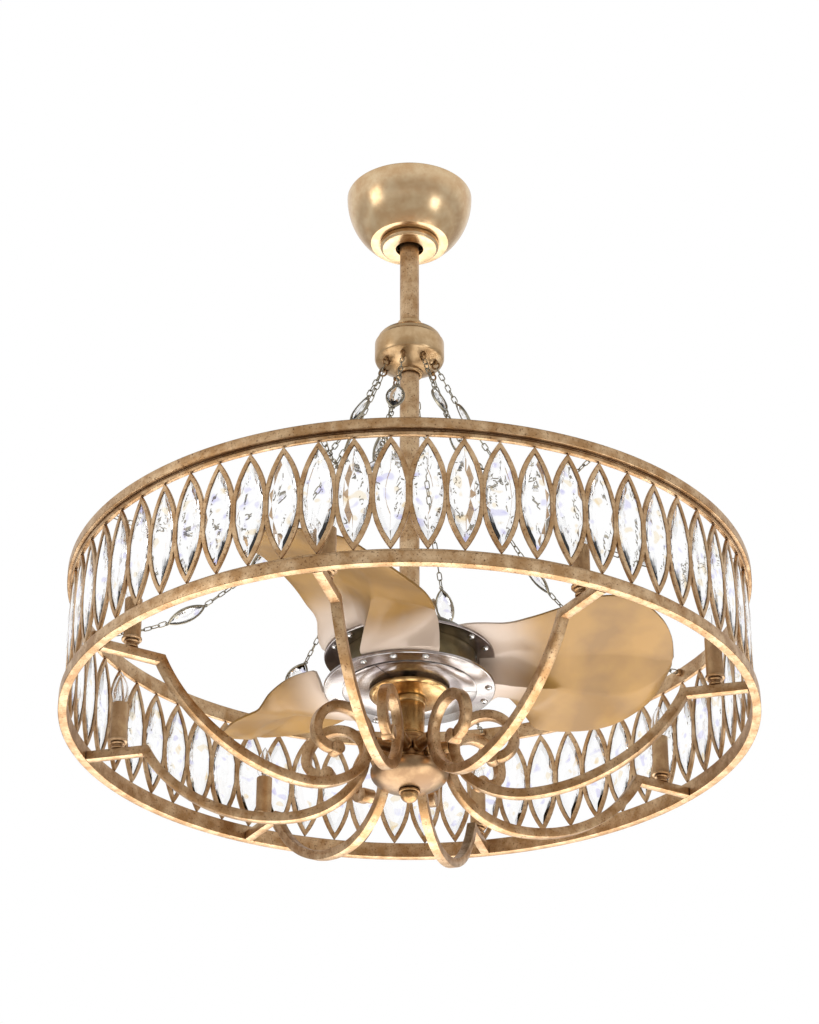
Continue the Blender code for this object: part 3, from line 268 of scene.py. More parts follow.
def spin(bm, outline, steps, place=None, start=0.0, sweep=2 * math.pi):
    """Turns a closed outline of radius and height about Z, all round or over part of a turn."""
    whole = sweep >= 2 * math.pi - 1e-6
    count = steps if whole else steps + 1
    rings = []
    for r, z in outline:
        if abs(r) < 1e-7:
            rings.append([bm.verts.new((0.0, 0.0, z))] * count)
            continue
        turns = [start + sweep * i / steps for i in range(count)]
        rings.append([bm.verts.new((r * math.cos(a), r * math.sin(a), z)) for a in turns])
    if place is not None:
        moved = {vert for ring in rings for vert in ring}
        bmesh.ops.transform(bm, matrix=place, verts=list(moved))
    for low, high in zip(rings, rings[1:] + rings[:1]):
        if low[0] is low[1] and high[0] is high[1]:
            continue
        for i in range(steps):
            j = (i + 1) % count
            bm.faces.new(list(dict.fromkeys((low[i], low[j], high[j], high[i]))))
    if not whole:
        bm.faces.new([ring[0] for ring in rings])
        bm.faces.new([ring[-1] for ring in rings])


def mesh_of(bm, name, *finishes, smooth=True):
    """Closes a mesh, with its faces out, smooth but for its sharp edges."""
    bmesh.ops.recalc_face_normals(bm, faces=bm.faces)
    mesh = bpy.data.meshes.new(name)
    bm.to_mesh(mesh)
    bm.free()
    for finish in finishes:
        mesh.materials.append(finish)
    if smooth:
        mesh.shade_smooth()
        mesh.set_sharp_from_angle(angle=SMOOTH_UNDER)
    return mesh


def fit(name, mesh, body, slot, *nodes, turn=0.0):
    """Puts a piece in its place on a body, where it stands for the CAD nodes named."""
    made = bpy.data.objects.new(name, mesh)
    made.rotation_euler.z = turn
    bpy.context.scene.collection.objects.link(made)
    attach(made, body)
    if nodes:
        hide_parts(*nodes)
    return made


def fit_made(bm, name, finish, body, slot, *nodes):
    """Closes a mesh in one finish and puts it in its place."""
    return fit(name, mesh_of(bm, name, finish), body, slot, *nodes)


def spun_piece(name, outline, ease, finish, body, slot, *nodes, steps=128):
    """A piece turned from one outline with eased corners, in its place."""
    bm = bmesh.new()
    spin(bm, eased(outline, ease), steps)
    return fit_made(bm, name, finish, body, slot, *nodes)


champagne = leafed("champagne_leaf_on_steel", *CHAMPAGNE, CHAMPAGNE_GRAIN, -0.07, 0.25, 0.10)
canopy_low, canopy_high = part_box("canopy")
canopy_r, canopy_deep = canopy_high.x, -canopy_low.z


def bowl_side(radius, height, down_to, bends=20):
    """The side of an oval bowl of a full height, as far down as it is cut off flat."""
    depths = [down_to * math.sin(math.pi / 2 * i / bends) for i in range(bends + 1)]
    return [(radius * math.sqrt(1 - (z / height) ** 2), -z) for z in depths]


outside = bowl_side(canopy_r, canopy_deep + CANOPY_CUT, canopy_deep)
inside_height = canopy_deep + CANOPY_CUT - CANOPY_WALL
inside = bowl_side(canopy_r - CANOPY_WALL, inside_height, canopy_deep - CANOPY_WALL)
hole = [(CANOPY_HOLE, -canopy_deep), (CANOPY_HOLE, -canopy_deep + CANOPY_WALL)]
bowl = outside + hole + inside[::-1]
spun_piece("canopy_bowl", bowl, CANOPY_EASE, champagne, "bracket", "champagne_metal", "canopy")
low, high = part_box("canopy_collar")
collar = [
    (COLLAR_HOLE, low.z), (high.x - COLLAR_LIP, low.z),
    (high.x, low.z + COLLAR_LIP), (high.x, high.z),
    (high.x - CANOPY_WALL, high.z), (high.x - COLLAR_LIP, low.z + CANOPY_WALL),
    (COLLAR_HOLE, low.z + CANOPY_WALL),
]
fitting = (champagne, "bracket", "champagne_metal", "canopy_collar")
spun_piece("canopy_trim_collar", collar, COLLAR_EASE, *fitting, steps=96)

# Downrod and lower stem
# Steel pipe in hand-rubbed antique gold leaf, matt, with small brown specks. Both keep their CAD shapes.
# The rod has the pin hole on which it swings in its ball, and the ends of both are out of sight.
GOLD = ("A47F57", "CCAE89", "5A3A25")
GOLD_GRAIN = 2.6 * MM

gold_leaf = leafed("antique_gold_leaf_on_steel", *GOLD, GOLD_GRAIN, 0.04, 0.40)
for node in ("downrod", "lower_stem"):
    dress(node, gold_leaf)

# Chain hub
# One casting in the champagne leaf, rubbed duller: a neck, two rounded tiers, a band, and a bowl that draws
# in to the stem. Eight screw eyes in a dark gold wire stand in the bowl, each on a small turned ball.
HUB_TIERS = (  # radius and height over the rod's foot, in millimetres
    (17.2, 52), (17.2, 45.5), (21.5, 41.5), (28.0, 37.0), (30.2, 33.8), (41.0, 29.6), (44.6, 25.2),
    (45.4, 20.0), (48.7, 17.2), (48.7, -8.0), (47.0, -12.0), (43.4, -14.4), (35.5, -19.6), (27.5, -25.4),
    (21.5, -28.4), (18.4, -29.6), (19.2, -31.0), (19.2, -33.2), (17.6, -34.0), (17.6, -35.0),
)
HUB_BORE = 14.0 * MM
HUB_EASE = 0.9 * MM
EYE_AT = (38.0 * MM, -24.2 * MM)
EYE_R, EYE_WIRE = 5.0 * MM, 1.3 * MM
EYE_BALL = 3.6 * MM
EIGHTHS = [2 * math.pi * k / 8 for k in range(8)]  # the places of eyes, arms, candles and chains


def join(bm, low, high):
    """The faces between two rings of as many corners."""
    pairs = [(a, (a + 1) % len(low)) for a in range(len(low))]
    return [bm.faces.new((low[a], low[b], high[b], high[a])) for a, b in pairs]


def bent_rod(bm, path, section, place=None, closed=False, material=0):
    """A rod bent along a flat path of (x, z), with a section of (out of the bend, across) points."""
    rings = []
    last = len(path) - 1
    for i, point in enumerate(path):
        point = Vector(point)
        back = point - Vector(path[i - 1]) if closed or i else Vector(path[1]) - point
        ahead = Vector(path[(i + 1) % len(path)]) - point if closed or i < last else back
        along = (back.normalized() + ahead.normalized()).normalized()
        mitre = 1 / max(0.5, along.dot(ahead.normalized()))
        side = Vector((-along.y, along.x)) * mitre
        corners = [Vector((point.x + side.x * n, w, point.y + side.y * n)) for n, w in section]
        rings.append([bm.verts.new(place @ c if place is not None else c) for c in corners])
    faces = []
    for i in range(len(rings) if closed else last):
        faces += join(bm, rings[i], rings[(i + 1) % len(rings)])
    if not closed:
        faces += [bm.faces.new(rings[0]), bm.faces.new(rings[-1])]
    for face in faces:
        face.material_index = material


def circle(radius, sides, centre=(0.0, 0.0)):
    """The corners of a round wire's section, or of a ring's centre line."""
    turns = [2 * math.pi * k / sides for k in range(sides)]
    return [(centre[0] + radius * math.cos(a), centre[1] + radius * math.sin(a)) for a in turns]


def radial(turn):
    """Where x is the distance from the axis and z the height, at an angle from -Y towards +X."""
    return Matrix.Rotation(turn - math.pi / 2, 4, "Z")


# The rubbed leaf has lost its shine, and the screw eyes read as small dark gold rings under it.
rubbed_colours = ("AC8B63", "CBAE87", CHAMPAGNE_GLAZE_AND_SHADE)
rubbed_leaf = leafed("rubbed_champagne_leaf", *rubbed_colours, CHAMPAGNE_GRAIN, -0.05, 0.32, 0.15)
rod_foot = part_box("downrod")[0].z
hub_low, hub_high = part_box("chain_hub")
tiers = [(r * MM, rod_foot + z * MM) for r, z in HUB_TIERS]
bm = bmesh.new()
spin(bm, eased([*tiers, (HUB_BORE, hub_low.z), (HUB_BORE, hub_high.z)], HUB_EASE), 96)
eye_z = rod_foot + EYE_AT[1]
eye = circle(EYE_R, 24, (EYE_AT[0], eye_z))
eyes = bmesh.new()
ball = [(EYE_BALL * math.sin(math.pi * k / 8), -EYE_BALL * math.cos(math.pi * k / 8)) for k in range(9)]
for turn in EIGHTHS:
    around = radial(turn)
    bent_rod(eyes, eye, circle(EYE_WIRE, 8), around, closed=True)
    spin(eyes, ball, 16, around @ Matrix.Translation((EYE_AT[0], 0.0, eye_z + EYE_R)))
fit_made(bm, "chain_hub_casting", rubbed_leaf, "fixture", "champagne_metal", "chain_hub")
eye_gold = leafed("dark_gold_screw_eyes", "7C5C3C", "A6835A", "33231A", 1.6 * MM, 0.0, 0.30, 0.1)
fit_made(eyes, "chain_hub_screw_eyes", eye_gold, "fixture", "champagne_metal")

# Motor
# The coupling cap and shaft stand still. The olive-painted drum turns with its polished rims: nickel-silver
# plates, satin with a grey-violet sheen, that clamp the blades with button-head screws.
OLIVE, OLIVE_WARM = "63573C", "7C6D4C"
SILVER, SILVER_SHADE = "B8B1AC", "8E8482"
COPPER, COPPER_DARK = "A5663F", "6E3E24"
BRASS = ("B48A55", "DDBB84", "452B13")
DRUM_CROWN = 42 * MM
DRUM_SHOULDER = (80 * MM, 26 * MM)
DRUM_R, DRUM_ROUND = 88 * MM, 12 * MM
DRUM_WALL, DRUM_EASE = 3 * MM, 5 * MM
PLATE_THICK, PLATE_GAP, PLATE_EASE = 5 * MM, 0.3 * MM, 1.6 * MM
RIM_THICK, RIM_EASE = 4 * MM, 1.2 * MM
RIM_APART = 48.6 * MM
RIM_DOWN = 3.6 * MM
SHAFT_ROOM = 13 * MM
VENTS, VENT_SIZE = 18, (20 * MM, 5 * MM, 24 * MM)
SCREW_AT = 104 * MM
SCREW_HEAD, SCREW_HIGH, SCREW_SOCKET = 5.0 * MM, 3.2 * MM, 2.0 * MM
BLADE_TURNS = [math.radians(104.6 + 120.0 * k) for k in range(3)]
LOWER_SCREW_DEGS = (-5.0, 18.0, 41.0)
UPPER_SCREW_DEGS = (-40.0, -18.0, 4.0)
COVER_SEAM_DEG = 0.5
COVER_DISH = 1.0 * MM

# The paint is a soft olive sheen and the windings dark copper. The brass is deep gold with brown painted
# shade in its corners, and the screws are small bright points.
olive_paint = coated("olive_painted_steel", OLIVE, OLIVE_WARM, 25 * MM, 0.38, 0.75)
nickel_silver = coated("satin_nickel_silver", SILVER, SILVER_SHADE, 40 * MM, 0.20, 1.0)
copper_wire = coated("motor_copper_windings", COPPER, COPPER_DARK, 2 * MM, 0.45, 0.9)
aged_brass = leafed("aged_brass", *BRASS, 4 * MM, -0.06, 0.24, 0.08)
screw_steel = coated("bright_zinc_screws", "D9D6D2", "A7A4A2", 2 * MM, 0.18, 1.0)
for node in ("motor_shaft", "magnet_ring", "upper_bearing", "lower_bearing"):
    dress(node, zinc_plate)
dress("stator", copper_wire)

casing_low, casing_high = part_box("rotor_casing")
plate_top = casing_low.z - PLATE_GAP
plate_bottom = plate_top - PLATE_THICK
rim_r = casing_high.x
rim_z = plate_top + RIM_APART
shoulder_r, shoulder_z = DRUM_SHOULDER[0], casing_high.z - DRUM_SHOULDER[1]
side_z = shoulder_z - DRUM_ROUND
drum = [
    (SHAFT_ROOM, casing_high.z), (DRUM_CROWN, casing_high.z),
    (shoulder_r, shoulder_z), (DRUM_R, side_z),
    (DRUM_R, casing_low.z), (DRUM_R - DRUM_WALL, casing_low.z),
    (DRUM_R - DRUM_WALL, side_z), (shoulder_r - DRUM_WALL, shoulder_z - DRUM_WALL),
    (DRUM_CROWN, casing_high.z - DRUM_WALL), (SHAFT_ROOM, casing_high.z - DRUM_WALL),
]
fitting = (olive_paint, "rotor", "olive_painted_steel", "rotor_casing")
motor_drum = spun_piece("motor_drum", drum, DRUM_EASE, *fitting)
vents = bmesh.new()
mid_r, mid_z = (DRUM_CROWN + shoulder_r) / 2, (casing_high.z + shoulder_z) / 2
lean = math.atan2(casing_high.z - shoulder_z, shoulder_r - DRUM_CROWN)
slope = Matrix.Translation((mid_r, 0.0, mid_z)) @ Matrix.Rotation(lean, 4, "Y")
for k in range(VENTS):
    vent = radial(2 * math.pi * k / VENTS) @ slope @ Matrix.Diagonal((*VENT_SIZE, 1.0))
    bmesh.ops.create_cube(vents, size=1.0, matrix=vent)
punch = bpy.data.objects.new("vent_punch", mesh_of(vents, "vent_punch"))
bpy.context.scene.collection.objects.link(punch)
cut = motor_drum.modifiers.new("vents", "BOOLEAN")
cut.operation = "DIFFERENCE"
cut.object = punch
bpy.context.view_layer.update()
graph = bpy.context.evaluated_depsgraph_get()
vented = bpy.data.meshes.new_from_object(motor_drum.evaluated_get(graph))
motor_drum.modifiers.clear()
motor_drum.data = vented
bpy.data.objects.remove(punch)

rim_under = rim_z - RIM_THICK - RIM_DOWN
rim_top, rim_bore = rim_under + RIM_THICK, DRUM_R + 0.2 * MM
rim = [(rim_bore, rim_under), (rim_r, rim_under), (rim_r, rim_top), (rim_bore, rim_top)]
spun_piece("upper_blade_rim", rim, RIM_EASE, nickel_silver, "rotor", "satin_silver")
plate = [(SHAFT_ROOM, plate_bottom), (rim_r, plate_bottom), (rim_r, plate_top), (SHAFT_ROOM, plate_top)]
spun_piece("lower_blade_plate", plate, PLATE_EASE, nickel_silver, "rotor", "satin_silver", "rotor_plate")

low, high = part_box("rotor_cover")
cover = [
    (SHAFT_ROOM, low.z + COVER_DISH), (high.x - 22 * MM, low.z + COVER_DISH),
    (high.x - 2 * MM, low.z), (high.x, low.z + 0.8 * MM),
    (high.x, high.z), (SHAFT_ROOM, high.z),
]
bm = bmesh.new()
seam = math.radians(COVER_SEAM_DEG)
for turn in BLADE_TURNS:
    spin(bm, cover, 40, start=turn - math.pi / 2 + seam, sweep=2 * math.pi / 3 - 2 * seam)
fit_made(bm, "motor_cover_segments", nickel_silver, "rotor", "satin_silver", "rotor_cover")

head = [(0.0, -SCREW_SOCKET), (SCREW_SOCKET, -SCREW_SOCKET), (SCREW_SOCKET, -SCREW_HIGH)]
for slant in (36.0, 52.0, 68.0, 82.0, 90.0):
    a = math.radians(slant)
    head.append((SCREW_HEAD * math.sin(a), -SCREW_HIGH * math.cos(a)))
head.append((0.0, 0.0))
bm = bmesh.new()
for turn in BLADE_TURNS:
    for spots, under in ((LOWER_SCREW_DEGS, plate_bottom), (UPPER_SCREW_DEGS, rim_under)):
        seat = Matrix.Translation((SCREW_AT, 0.0, under))
        for degrees in spots:
            spin(bm, head, 20, radial(turn + math.radians(degrees)) @ seat)
fit_made(bm, "blade_screws", screw_steel, "rotor", "satin_silver")

# Blades
# Each is one moulding in metallic plastic: a wide root that steps from the upper rim to the lower plate and
# opens out into a pitched paddle. The paint is golden, with a painted reflection of silvery pink near the
# motor, and metal flakes that are drawn ten times their real size to show at all.
BLADE_GOLD, BLADE_DEEP, BLADE_ROSE_REFLECTION = "98712F", "815E27", "CBB9AA"
ROSE_REFLECTION_FROM, ROSE_REFLECTION_TO, ROSE_REFLECTION_MOST = 116 * MM, 186 * MM, 0.85
PAINT_CLOUD, FLAKE = 70 * MM, 0.5 * MM
BLADE_ROOT = 92.5 * MM
BLADE_TIP = 354 * MM
BLADE_THICK, BLADE_EDGE = 3 * MM, 1.1 * MM
REACH_SHARES = (0.0, 0.086, 0.18, 0.296, 0.43, 0.629, 0.816, 0.927, 0.977, 1.0)
HIGH_EDGE_DEGS = (-57.0, -52.0, -29.6, -22.5, -18.6, -16.5, -14.0, -7.4, -1.2, 5.0)
STEP_TOP_DEGS = (-6.0, -5.0, -1.0, 3.0, 5.0, 6.0, 5.0, 6.0, 6.0, 6.2)
STEP_FOOT_DEGS = (-4.0, -3.0, 4.0, 11.0, 16.0, 18.0, 15.0, 11.0, 9.0, 7.5)
LOW_EDGE_DEGS = (49.0, 49.0, 43.0, 39.8, 38.9, 34.2, 26.7, 20.5, 16.2, 9.0)
HIGH_RISE_SHARES = (1.0, 1.0, 1.28, 1.51, 1.80, 2.12, 2.03, 1.74, 1.52, 1.28)
LOW_RISE_SHARES = (0.0, 0.0, -0.05, -0.05, 0.0, 0.10, 0.20, 0.52, 0.82, 1.20)
CURL_SHARES = (0.0, 0.086, 0.13, 0.19, 0.31, 0.41, 0.49, 1.0)
CURL_RISES = (0.0, 0.0, 0.75, 0.95, 0.90, 0.50, 0.0, 0.0)
OPEN_FROM, OPEN_OVER, OPEN_MOST = 0.09, 0.45, 0.8
BLADE_ROWS = 64
HIGH_COLUMNS, STEP_COLUMNS, LOW_COLUMNS = 8, 14, 16
FOLD_DEGS, FOLD_SHARE = 9.0, 0.55


def smooth_through(xs, ys, x):
    """The height at x of a smooth curve through points."""
    slopes = []
    for i in range(len(xs)):
        a, b = max(i - 1, 0), min(i + 1, len(xs) - 1)
        slopes.append((ys[b] - ys[a]) / (xs[b] - xs[a]))
    i = max(k for k in range(len(xs) - 1) if xs[k] <= x or k == 0)
    width = xs[i + 1] - xs[i]
    t = (x - xs[i]) / width
    start = (1 + 2 * t) * (1 - t) ** 2 * ys[i] + t * (1 - t) ** 2 * width * slopes[i]
    end = t**2 * (3 - 2 * t) * ys[i + 1] - t**2 * (1 - t) * width * slopes[i + 1]
    return start + end


blade_paint, tree, shader = new_finish("metallic_blade_plastic")
place = add_node(tree, "ShaderNodeTexCoord", out="Object")
flatten = {0: place, 1: (1.0, 1.0, 0.0)}
flat = add_node(tree, "ShaderNodeVectorMath", flatten, operation="MULTIPLY")
reach = add_node(tree, "ShaderNodeVectorMath", {0: flat}, "Value", operation="LENGTH")
# Painted reflection: silvery pink over the gold near the motor, fading out with the distance from the axis.
span = {"Value": reach, "From Min": ROSE_REFLECTION_TO, "From Max": ROSE_REFLECTION_FROM, "To Max": ROSE_REFLECTION_MOST}
painted_rose_reflection = add_node(tree, "ShaderNodeMapRange", span, interpolation_type="SMOOTHSTEP")
_, drift = clouded(tree, PAINT_CLOUD, 0.38, 0.62, 3.0)
tones = {0: drift, 6: linear(BLADE_GOLD), 7: linear(BLADE_DEEP)}
golden = add_node(tree, "ShaderNodeMix", tones, 2, data_type="RGBA")
tones = {0: painted_rose_reflection, 6: golden, 7: linear(BLADE_ROSE_REFLECTION)}
colour = add_node(tree, "ShaderNodeMix", tones, 2, data_type="RGBA")
noise = {"Vector": place, "Scale": 1 / FLAKE, "Detail": 2.0}
flakes = add_node(tree, "ShaderNodeTexNoise", noise)
grit = {"Height": flakes, "Strength": 0.04, "Distance": 0.1 * MM}
bump = add_node(tree, "ShaderNodeBump", grit)
tree.links.new(colour, shader["Base Color"])
tree.links.new(bump, shader["Normal"])
shader["Metallic"].default_value = 0.2
shader["Roughness"].default_value = 0.5
shader["Coat Weight"].default_value = 0.25
shader["Coat Roughness"].default_value = 0.2

low_root = plate_top + PLATE_GAP + BLADE_THICK / 2
step_height = rim_z - PLATE_GAP - BLADE_THICK / 2 - low_root
edges = (HIGH_EDGE_DEGS, STEP_TOP_DEGS, STEP_FOOT_DEGS, LOW_EDGE_DEGS, HIGH_RISE_SHARES, LOW_RISE_SHARES)
bm = bmesh.new()
rows = []
for i in range(BLADE_ROWS + 1):
    share = i / BLADE_ROWS
    share = share + 0.5 * share * (1 - share)
    places = [smooth_through(REACH_SHARES, line, share) for line in edges]
    high, top, foot, low, high_rise, low_rise = places
    opened = min(OPEN_MOST, max(0.0, (share - OPEN_FROM) / OPEN_OVER))
    top_rise = high_rise + opened * (low_rise - high_rise) * (top - high) / (low - high)
    foot_rise = low_rise + opened * (high_rise - low_rise) * (low - foot) / (low - high)
    curl = smooth_through(CURL_SHARES, CURL_RISES, share)
    folded = max(0.0, 1 - share / FOLD_SHARE)
    fold = (top + foot) / 2 + ((foot - top) / 2 + FOLD_DEGS) * folded
    from_top = top_rise + (top_rise - high_rise) / (top - high) * (fold - top)
    from_foot = foot_rise - (low_rise - foot_rise) / (low - foot) * (foot - fold)
    bend = from_top * (1 + folded) / 2 + from_foot * (1 - folded) / 2
    line = []
    for k in range(HIGH_COLUMNS):
        t = k / HIGH_COLUMNS
        line.append((high + (top - high) * t, high_rise + (top_rise - high_rise) * t))
    for k in range(STEP_COLUMNS):
        t = k / STEP_COLUMNS
        degrees = top * (1 - t) ** 2 + fold * 2 * t * (1 - t) + foot * t**2
        line.append((degrees, top_rise * (1 - t) ** 2 + bend * 2 * t * (1 - t) + foot_rise * t**2))
    for k in range(LOW_COLUMNS + 1):
        t = k / LOW_COLUMNS
        line.append((foot + (low - foot) * t, foot_rise + (low_rise - foot_rise) * t + curl * t**2))
    radius = BLADE_ROOT + (BLADE_TIP - BLADE_ROOT) * share
    row = []
    for degrees, height in line:
        turn = math.radians(degrees)
        spot = (radius * math.sin(turn), -radius * math.cos(turn), low_root + step_height * height)
        row.append(bm.verts.new(spot))
    rows.append(row)
for a, b in zip(rows, rows[1:]):
    for i in range(len(a) - 1):
        bm.faces.new((a[i], a[i + 1], b[i + 1], b[i]))
blade_mesh = mesh_of(bm, "fan_blade_moulding", blade_paint)
for k, turn in enumerate(BLADE_TURNS):
    name = f"blade_{k + 1}"
    blade = fit("fan_" + name, blade_mesh, "rotor", "metallic_blade_plastic", name, turn=turn)
    wall = blade.modifiers.new("wall", "SOLIDIFY")
    wall.thickness = BLADE_THICK
    wall.offset = 0.0
    edge = blade.modifiers.new("edge", "BEVEL")
    edge.width = BLADE_EDGE
    edge.segments = 3
    edge.angle_limit = math.radians(50.0)

# Light column
# Turned brass, aged to a deep gold: a shallow dish under the motor, the column with its beads, and the
# collar block whose eight round bosses carry the arms.
DISH_WALL, DISH_HOLE = 1.5 * MM, 12 * MM
COLUMN_BEAD, COLUMN_EASE = 1.7 * MM, 0.5 * MM
STUD_BORE = 5.3 * MM
BLOCK_R, BLOCK_GROOVE, BLOCK_EASE = 23.4 * MM, 1.4 * MM, 0.9 * MM
BOSS_R, BOSS_RING, BOSS_EASE = 8.0 * MM, 9.4 * MM, 0.8 * MM
BOSS_OUT = 53.3 * MM

low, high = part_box("switch_dish")
dish_r = high.x
dish = [
    (DISH_HOLE, low.z), (dish_r * 0.5, low.z),
    (dish_r - 4 * MM, low.z + 3.4 * MM), (dish_r, low.z + 6.2 * MM),
    (dish_r, high.z), (dish_r - DISH_WALL, high.z),
    (dish_r - DISH_WALL, low.z + 6.6 * MM), (dish_r - 5 * MM, low.z + 5.0 * MM),
    (dish_r * 0.5, low.z + DISH_WALL), (DISH_HOLE, low.z + DISH_WALL),
]
spun_piece("switch_cup_dish", dish, DISH_WALL, aged_brass, "fixture", "aged_brass", "switch_dish")

low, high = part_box("light_column")
bead_r, column_r = high.x, high.x - COLUMN_BEAD
column = [
    (STUD_BORE, low.z), (bead_r, low.z),
    (bead_r, low.z + 2.2 * MM), (column_r, low.z + 2.6 * MM),
    (column_r, low.z + 3.2 * MM), (bead_r - 0.5 * MM, low.z + 3.4 * MM),
    (bead_r - 0.5 * MM, low.z + 5.0 * MM), (column_r - 0.6 * MM, low.z + 5.6 * MM),
    (column_r, high.z - 9.0 * MM), (column_r - 0.7 * MM, high.z - 8.6 * MM),
    (column_r - 0.7 * MM, high.z - 7.8 * MM), (column_r + 0.5 * MM, high.z - 7.4 * MM),
    (column_r + 1.5 * MM, high.z), (STUD_BORE, high.z),
]
fitting = (aged_brass, "fixture", "aged_brass", "light_column")
spun_piece("brass_light_column", column, COLUMN_EASE, *fitting, steps=96)

# A darker leaf than the arms', with brown painted shade in every corner of the block.
dark_gold = leafed("dark_gold_leaf_on_iron", "9A734B", "BE9A6B", "4A2E1B", 2.4 * MM, 0.035, 0.36)
low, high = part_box("arm_collar")
block = [
    (STUD_BORE, low.z), (BLOCK_R, low.z),
    (BLOCK_R, low.z + 3 * MM), (BLOCK_R - BLOCK_GROOVE, low.z + 4.4 * MM),
    (BLOCK_R - BLOCK_GROOVE, high.z - 4.4 * MM), (BLOCK_R, high.z - 3 * MM),
    (BLOCK_R, high.z), (STUD_BORE, high.z),
]
arm_z = (low.z + high.z) / 2
boss = [
    (0.0, BLOCK_R - 4 * MM), (BOSS_RING, BLOCK_R - 4 * MM),
    (BOSS_RING, BLOCK_R + 3.0 * MM), (BOSS_R, BLOCK_R + 4.0 * MM),
    (BOSS_R, BOSS_OUT), (0.0, BOSS_OUT),
]
bm = bmesh.new()
spin(bm, eased(block, BLOCK_EASE), 96)
sideways = Matrix.Translation((0.0, 0.0, arm_z)) @ Matrix.Rotation(math.pi / 2, 4, "Y")
for turn in EIGHTHS:
    spin(bm, eased(boss, BOSS_EASE), 28, radial(turn) @ sideways)
fit_made(bm, "arm_collar_block", dark_gold, "fixture", "aged_brass", "arm_collar")

# Bottom bowl and finial
# A spun bowl in the champagne leaf closes the light column off below. A turned finial in the dark leaf
# screws up through it.
BOWL_WALL, BOWL_EASE = 1.5 * MM, 0.8 * MM
BOWL_LIP = 4.0 * MM
BUTTON_R, BUTTON_DEEP = 12.0 * MM, 10.6 * MM
FINIAL_RING_R, FINIAL_EASE, FINIAL_GAP = 14.0 * MM, 0.6 * MM, 0.3 * MM
STUD_R = 5.0 * MM

# The same leaf, darkened under the fan as painted shade, so that the bowl reads as brown satin.
bowl_painted_shade_colours = ("7F644A", "9B7F5F", CHAMPAGNE_GLAZE_AND_SHADE)
shade_darkened_bowl_leaf = leafed("champagne_leaf_darkened_as_painted_shade", *bowl_painted_shade_colours, CHAMPAGNE_GRAIN, -0.05, 0.34, 0.15)
bowl_low, bowl_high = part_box("bottom_bowl")


def round_bowl(radius, height, bends=22):
    """A round bottom under a straight lip, as far in as the bore."""
    lip_low, deep = bowl_high.z - BOWL_LIP, height - BOWL_LIP
    turns = [math.pi / 2 * i / bends for i in range(bends + 1)]
    points = [(radius * math.cos(a), lip_low - deep * math.sin(a)) for a in turns]
    return [(radius, bowl_high.z), *[p for p in points if p[0] > STUD_BORE]]


bowl_height = bowl_high.z - bowl_low.z
bowl_out = round_bowl(bowl_high.x, bowl_height)
bowl_in = round_bowl(bowl_high.x - BOWL_WALL, bowl_height - BOWL_WALL)
middle = [(STUD_BORE, bowl_low.z), (STUD_BORE, bowl_low.z + BOWL_WALL)]
shell = bowl_out + middle + bowl_in[::-1]
spun_piece("bottom_bowl_shell", shell, BOWL_EASE, shade_darkened_bowl_leaf, "fixture", "champagne_metal", "bottom_bowl")

low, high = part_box("finial")
finial_top = bowl_low.z - FINIAL_GAP
button_z = low.z + BUTTON_DEEP
slants = [math.pi / 2 * (k / 12 - 1) for k in range(1, 13)]
finial = [
    (0.0, low.z),
    *[(BUTTON_R * math.cos(a), button_z + BUTTON_DEEP * math.sin(a)) for a in slants],
    (BUTTON_R - 1.6 * MM, button_z + 1.0 * MM), (BUTTON_R - 1.2 * MM, button_z + 1.8 * MM),
    (FINIAL_RING_R, button_z + 2.2 * MM), (FINIAL_RING_R, finial_top),
    (STUD_R, finial_top), (STUD_R, high.z),
    (0.0, high.z),
]
fitting = (dark_gold, "fixture", "champagne_metal", "finial")
spun_piece("turned_finial", finial, FINIAL_EASE, *fitting, steps=64)

# Arms
# Square steel bar, hot bent to a scroll and finished in the antique gold leaf. Each leaves the hoop level,
# kinks just past its candle, and sweeps down and round to a curl that ends in a round button.
BAR = 12.7 * MM
BAR_EDGE = 1.5 * MM
ARM_HUB_R = 60 * MM
SWEEP_REACH, SWEEP_DROP = 98 * MM, 77 * MM
LOOP_R, CURL_R = 39.5 * MM, 22 * MM
LEVEL_OVER_HUB = 40.2 * MM
KINK_R = 362 * MM
HANDLE_OUT_SHARES, HANDLE_IN_SHARE = (0.181, 0.584), 0.402  # of the run from the kink to the sole
FALL_STEPS = 40
COIN_R, COIN_WIDE, COIN_EASE = 9.4 * MM, 17 * MM, 1.4 * MM


def arc(centre, radius, start_deg, end_deg, steps, squash=1.0):
    """Points along a round arc, or along an oval one that is squashed in height."""
    sweep = (end_deg - start_deg) / steps
    turns = [math.radians(start_deg + sweep * i) for i in range(steps + 1)]
    return [(centre[0] + radius * math.cos(a), centre[1] + radius * squash * math.sin(a)) for a in turns]


def fit_eight(name, mesh, slot, node=None):
    """One piece at each of the eight places round the fan, in the arms' order."""
    for k, turn in enumerate(EIGHTHS):
        nodes = [f"{node}_{k + 1}"] if node else []
        fit(f"{name}_{k + 1}", mesh, "fixture", slot, *nodes, turn=turn)


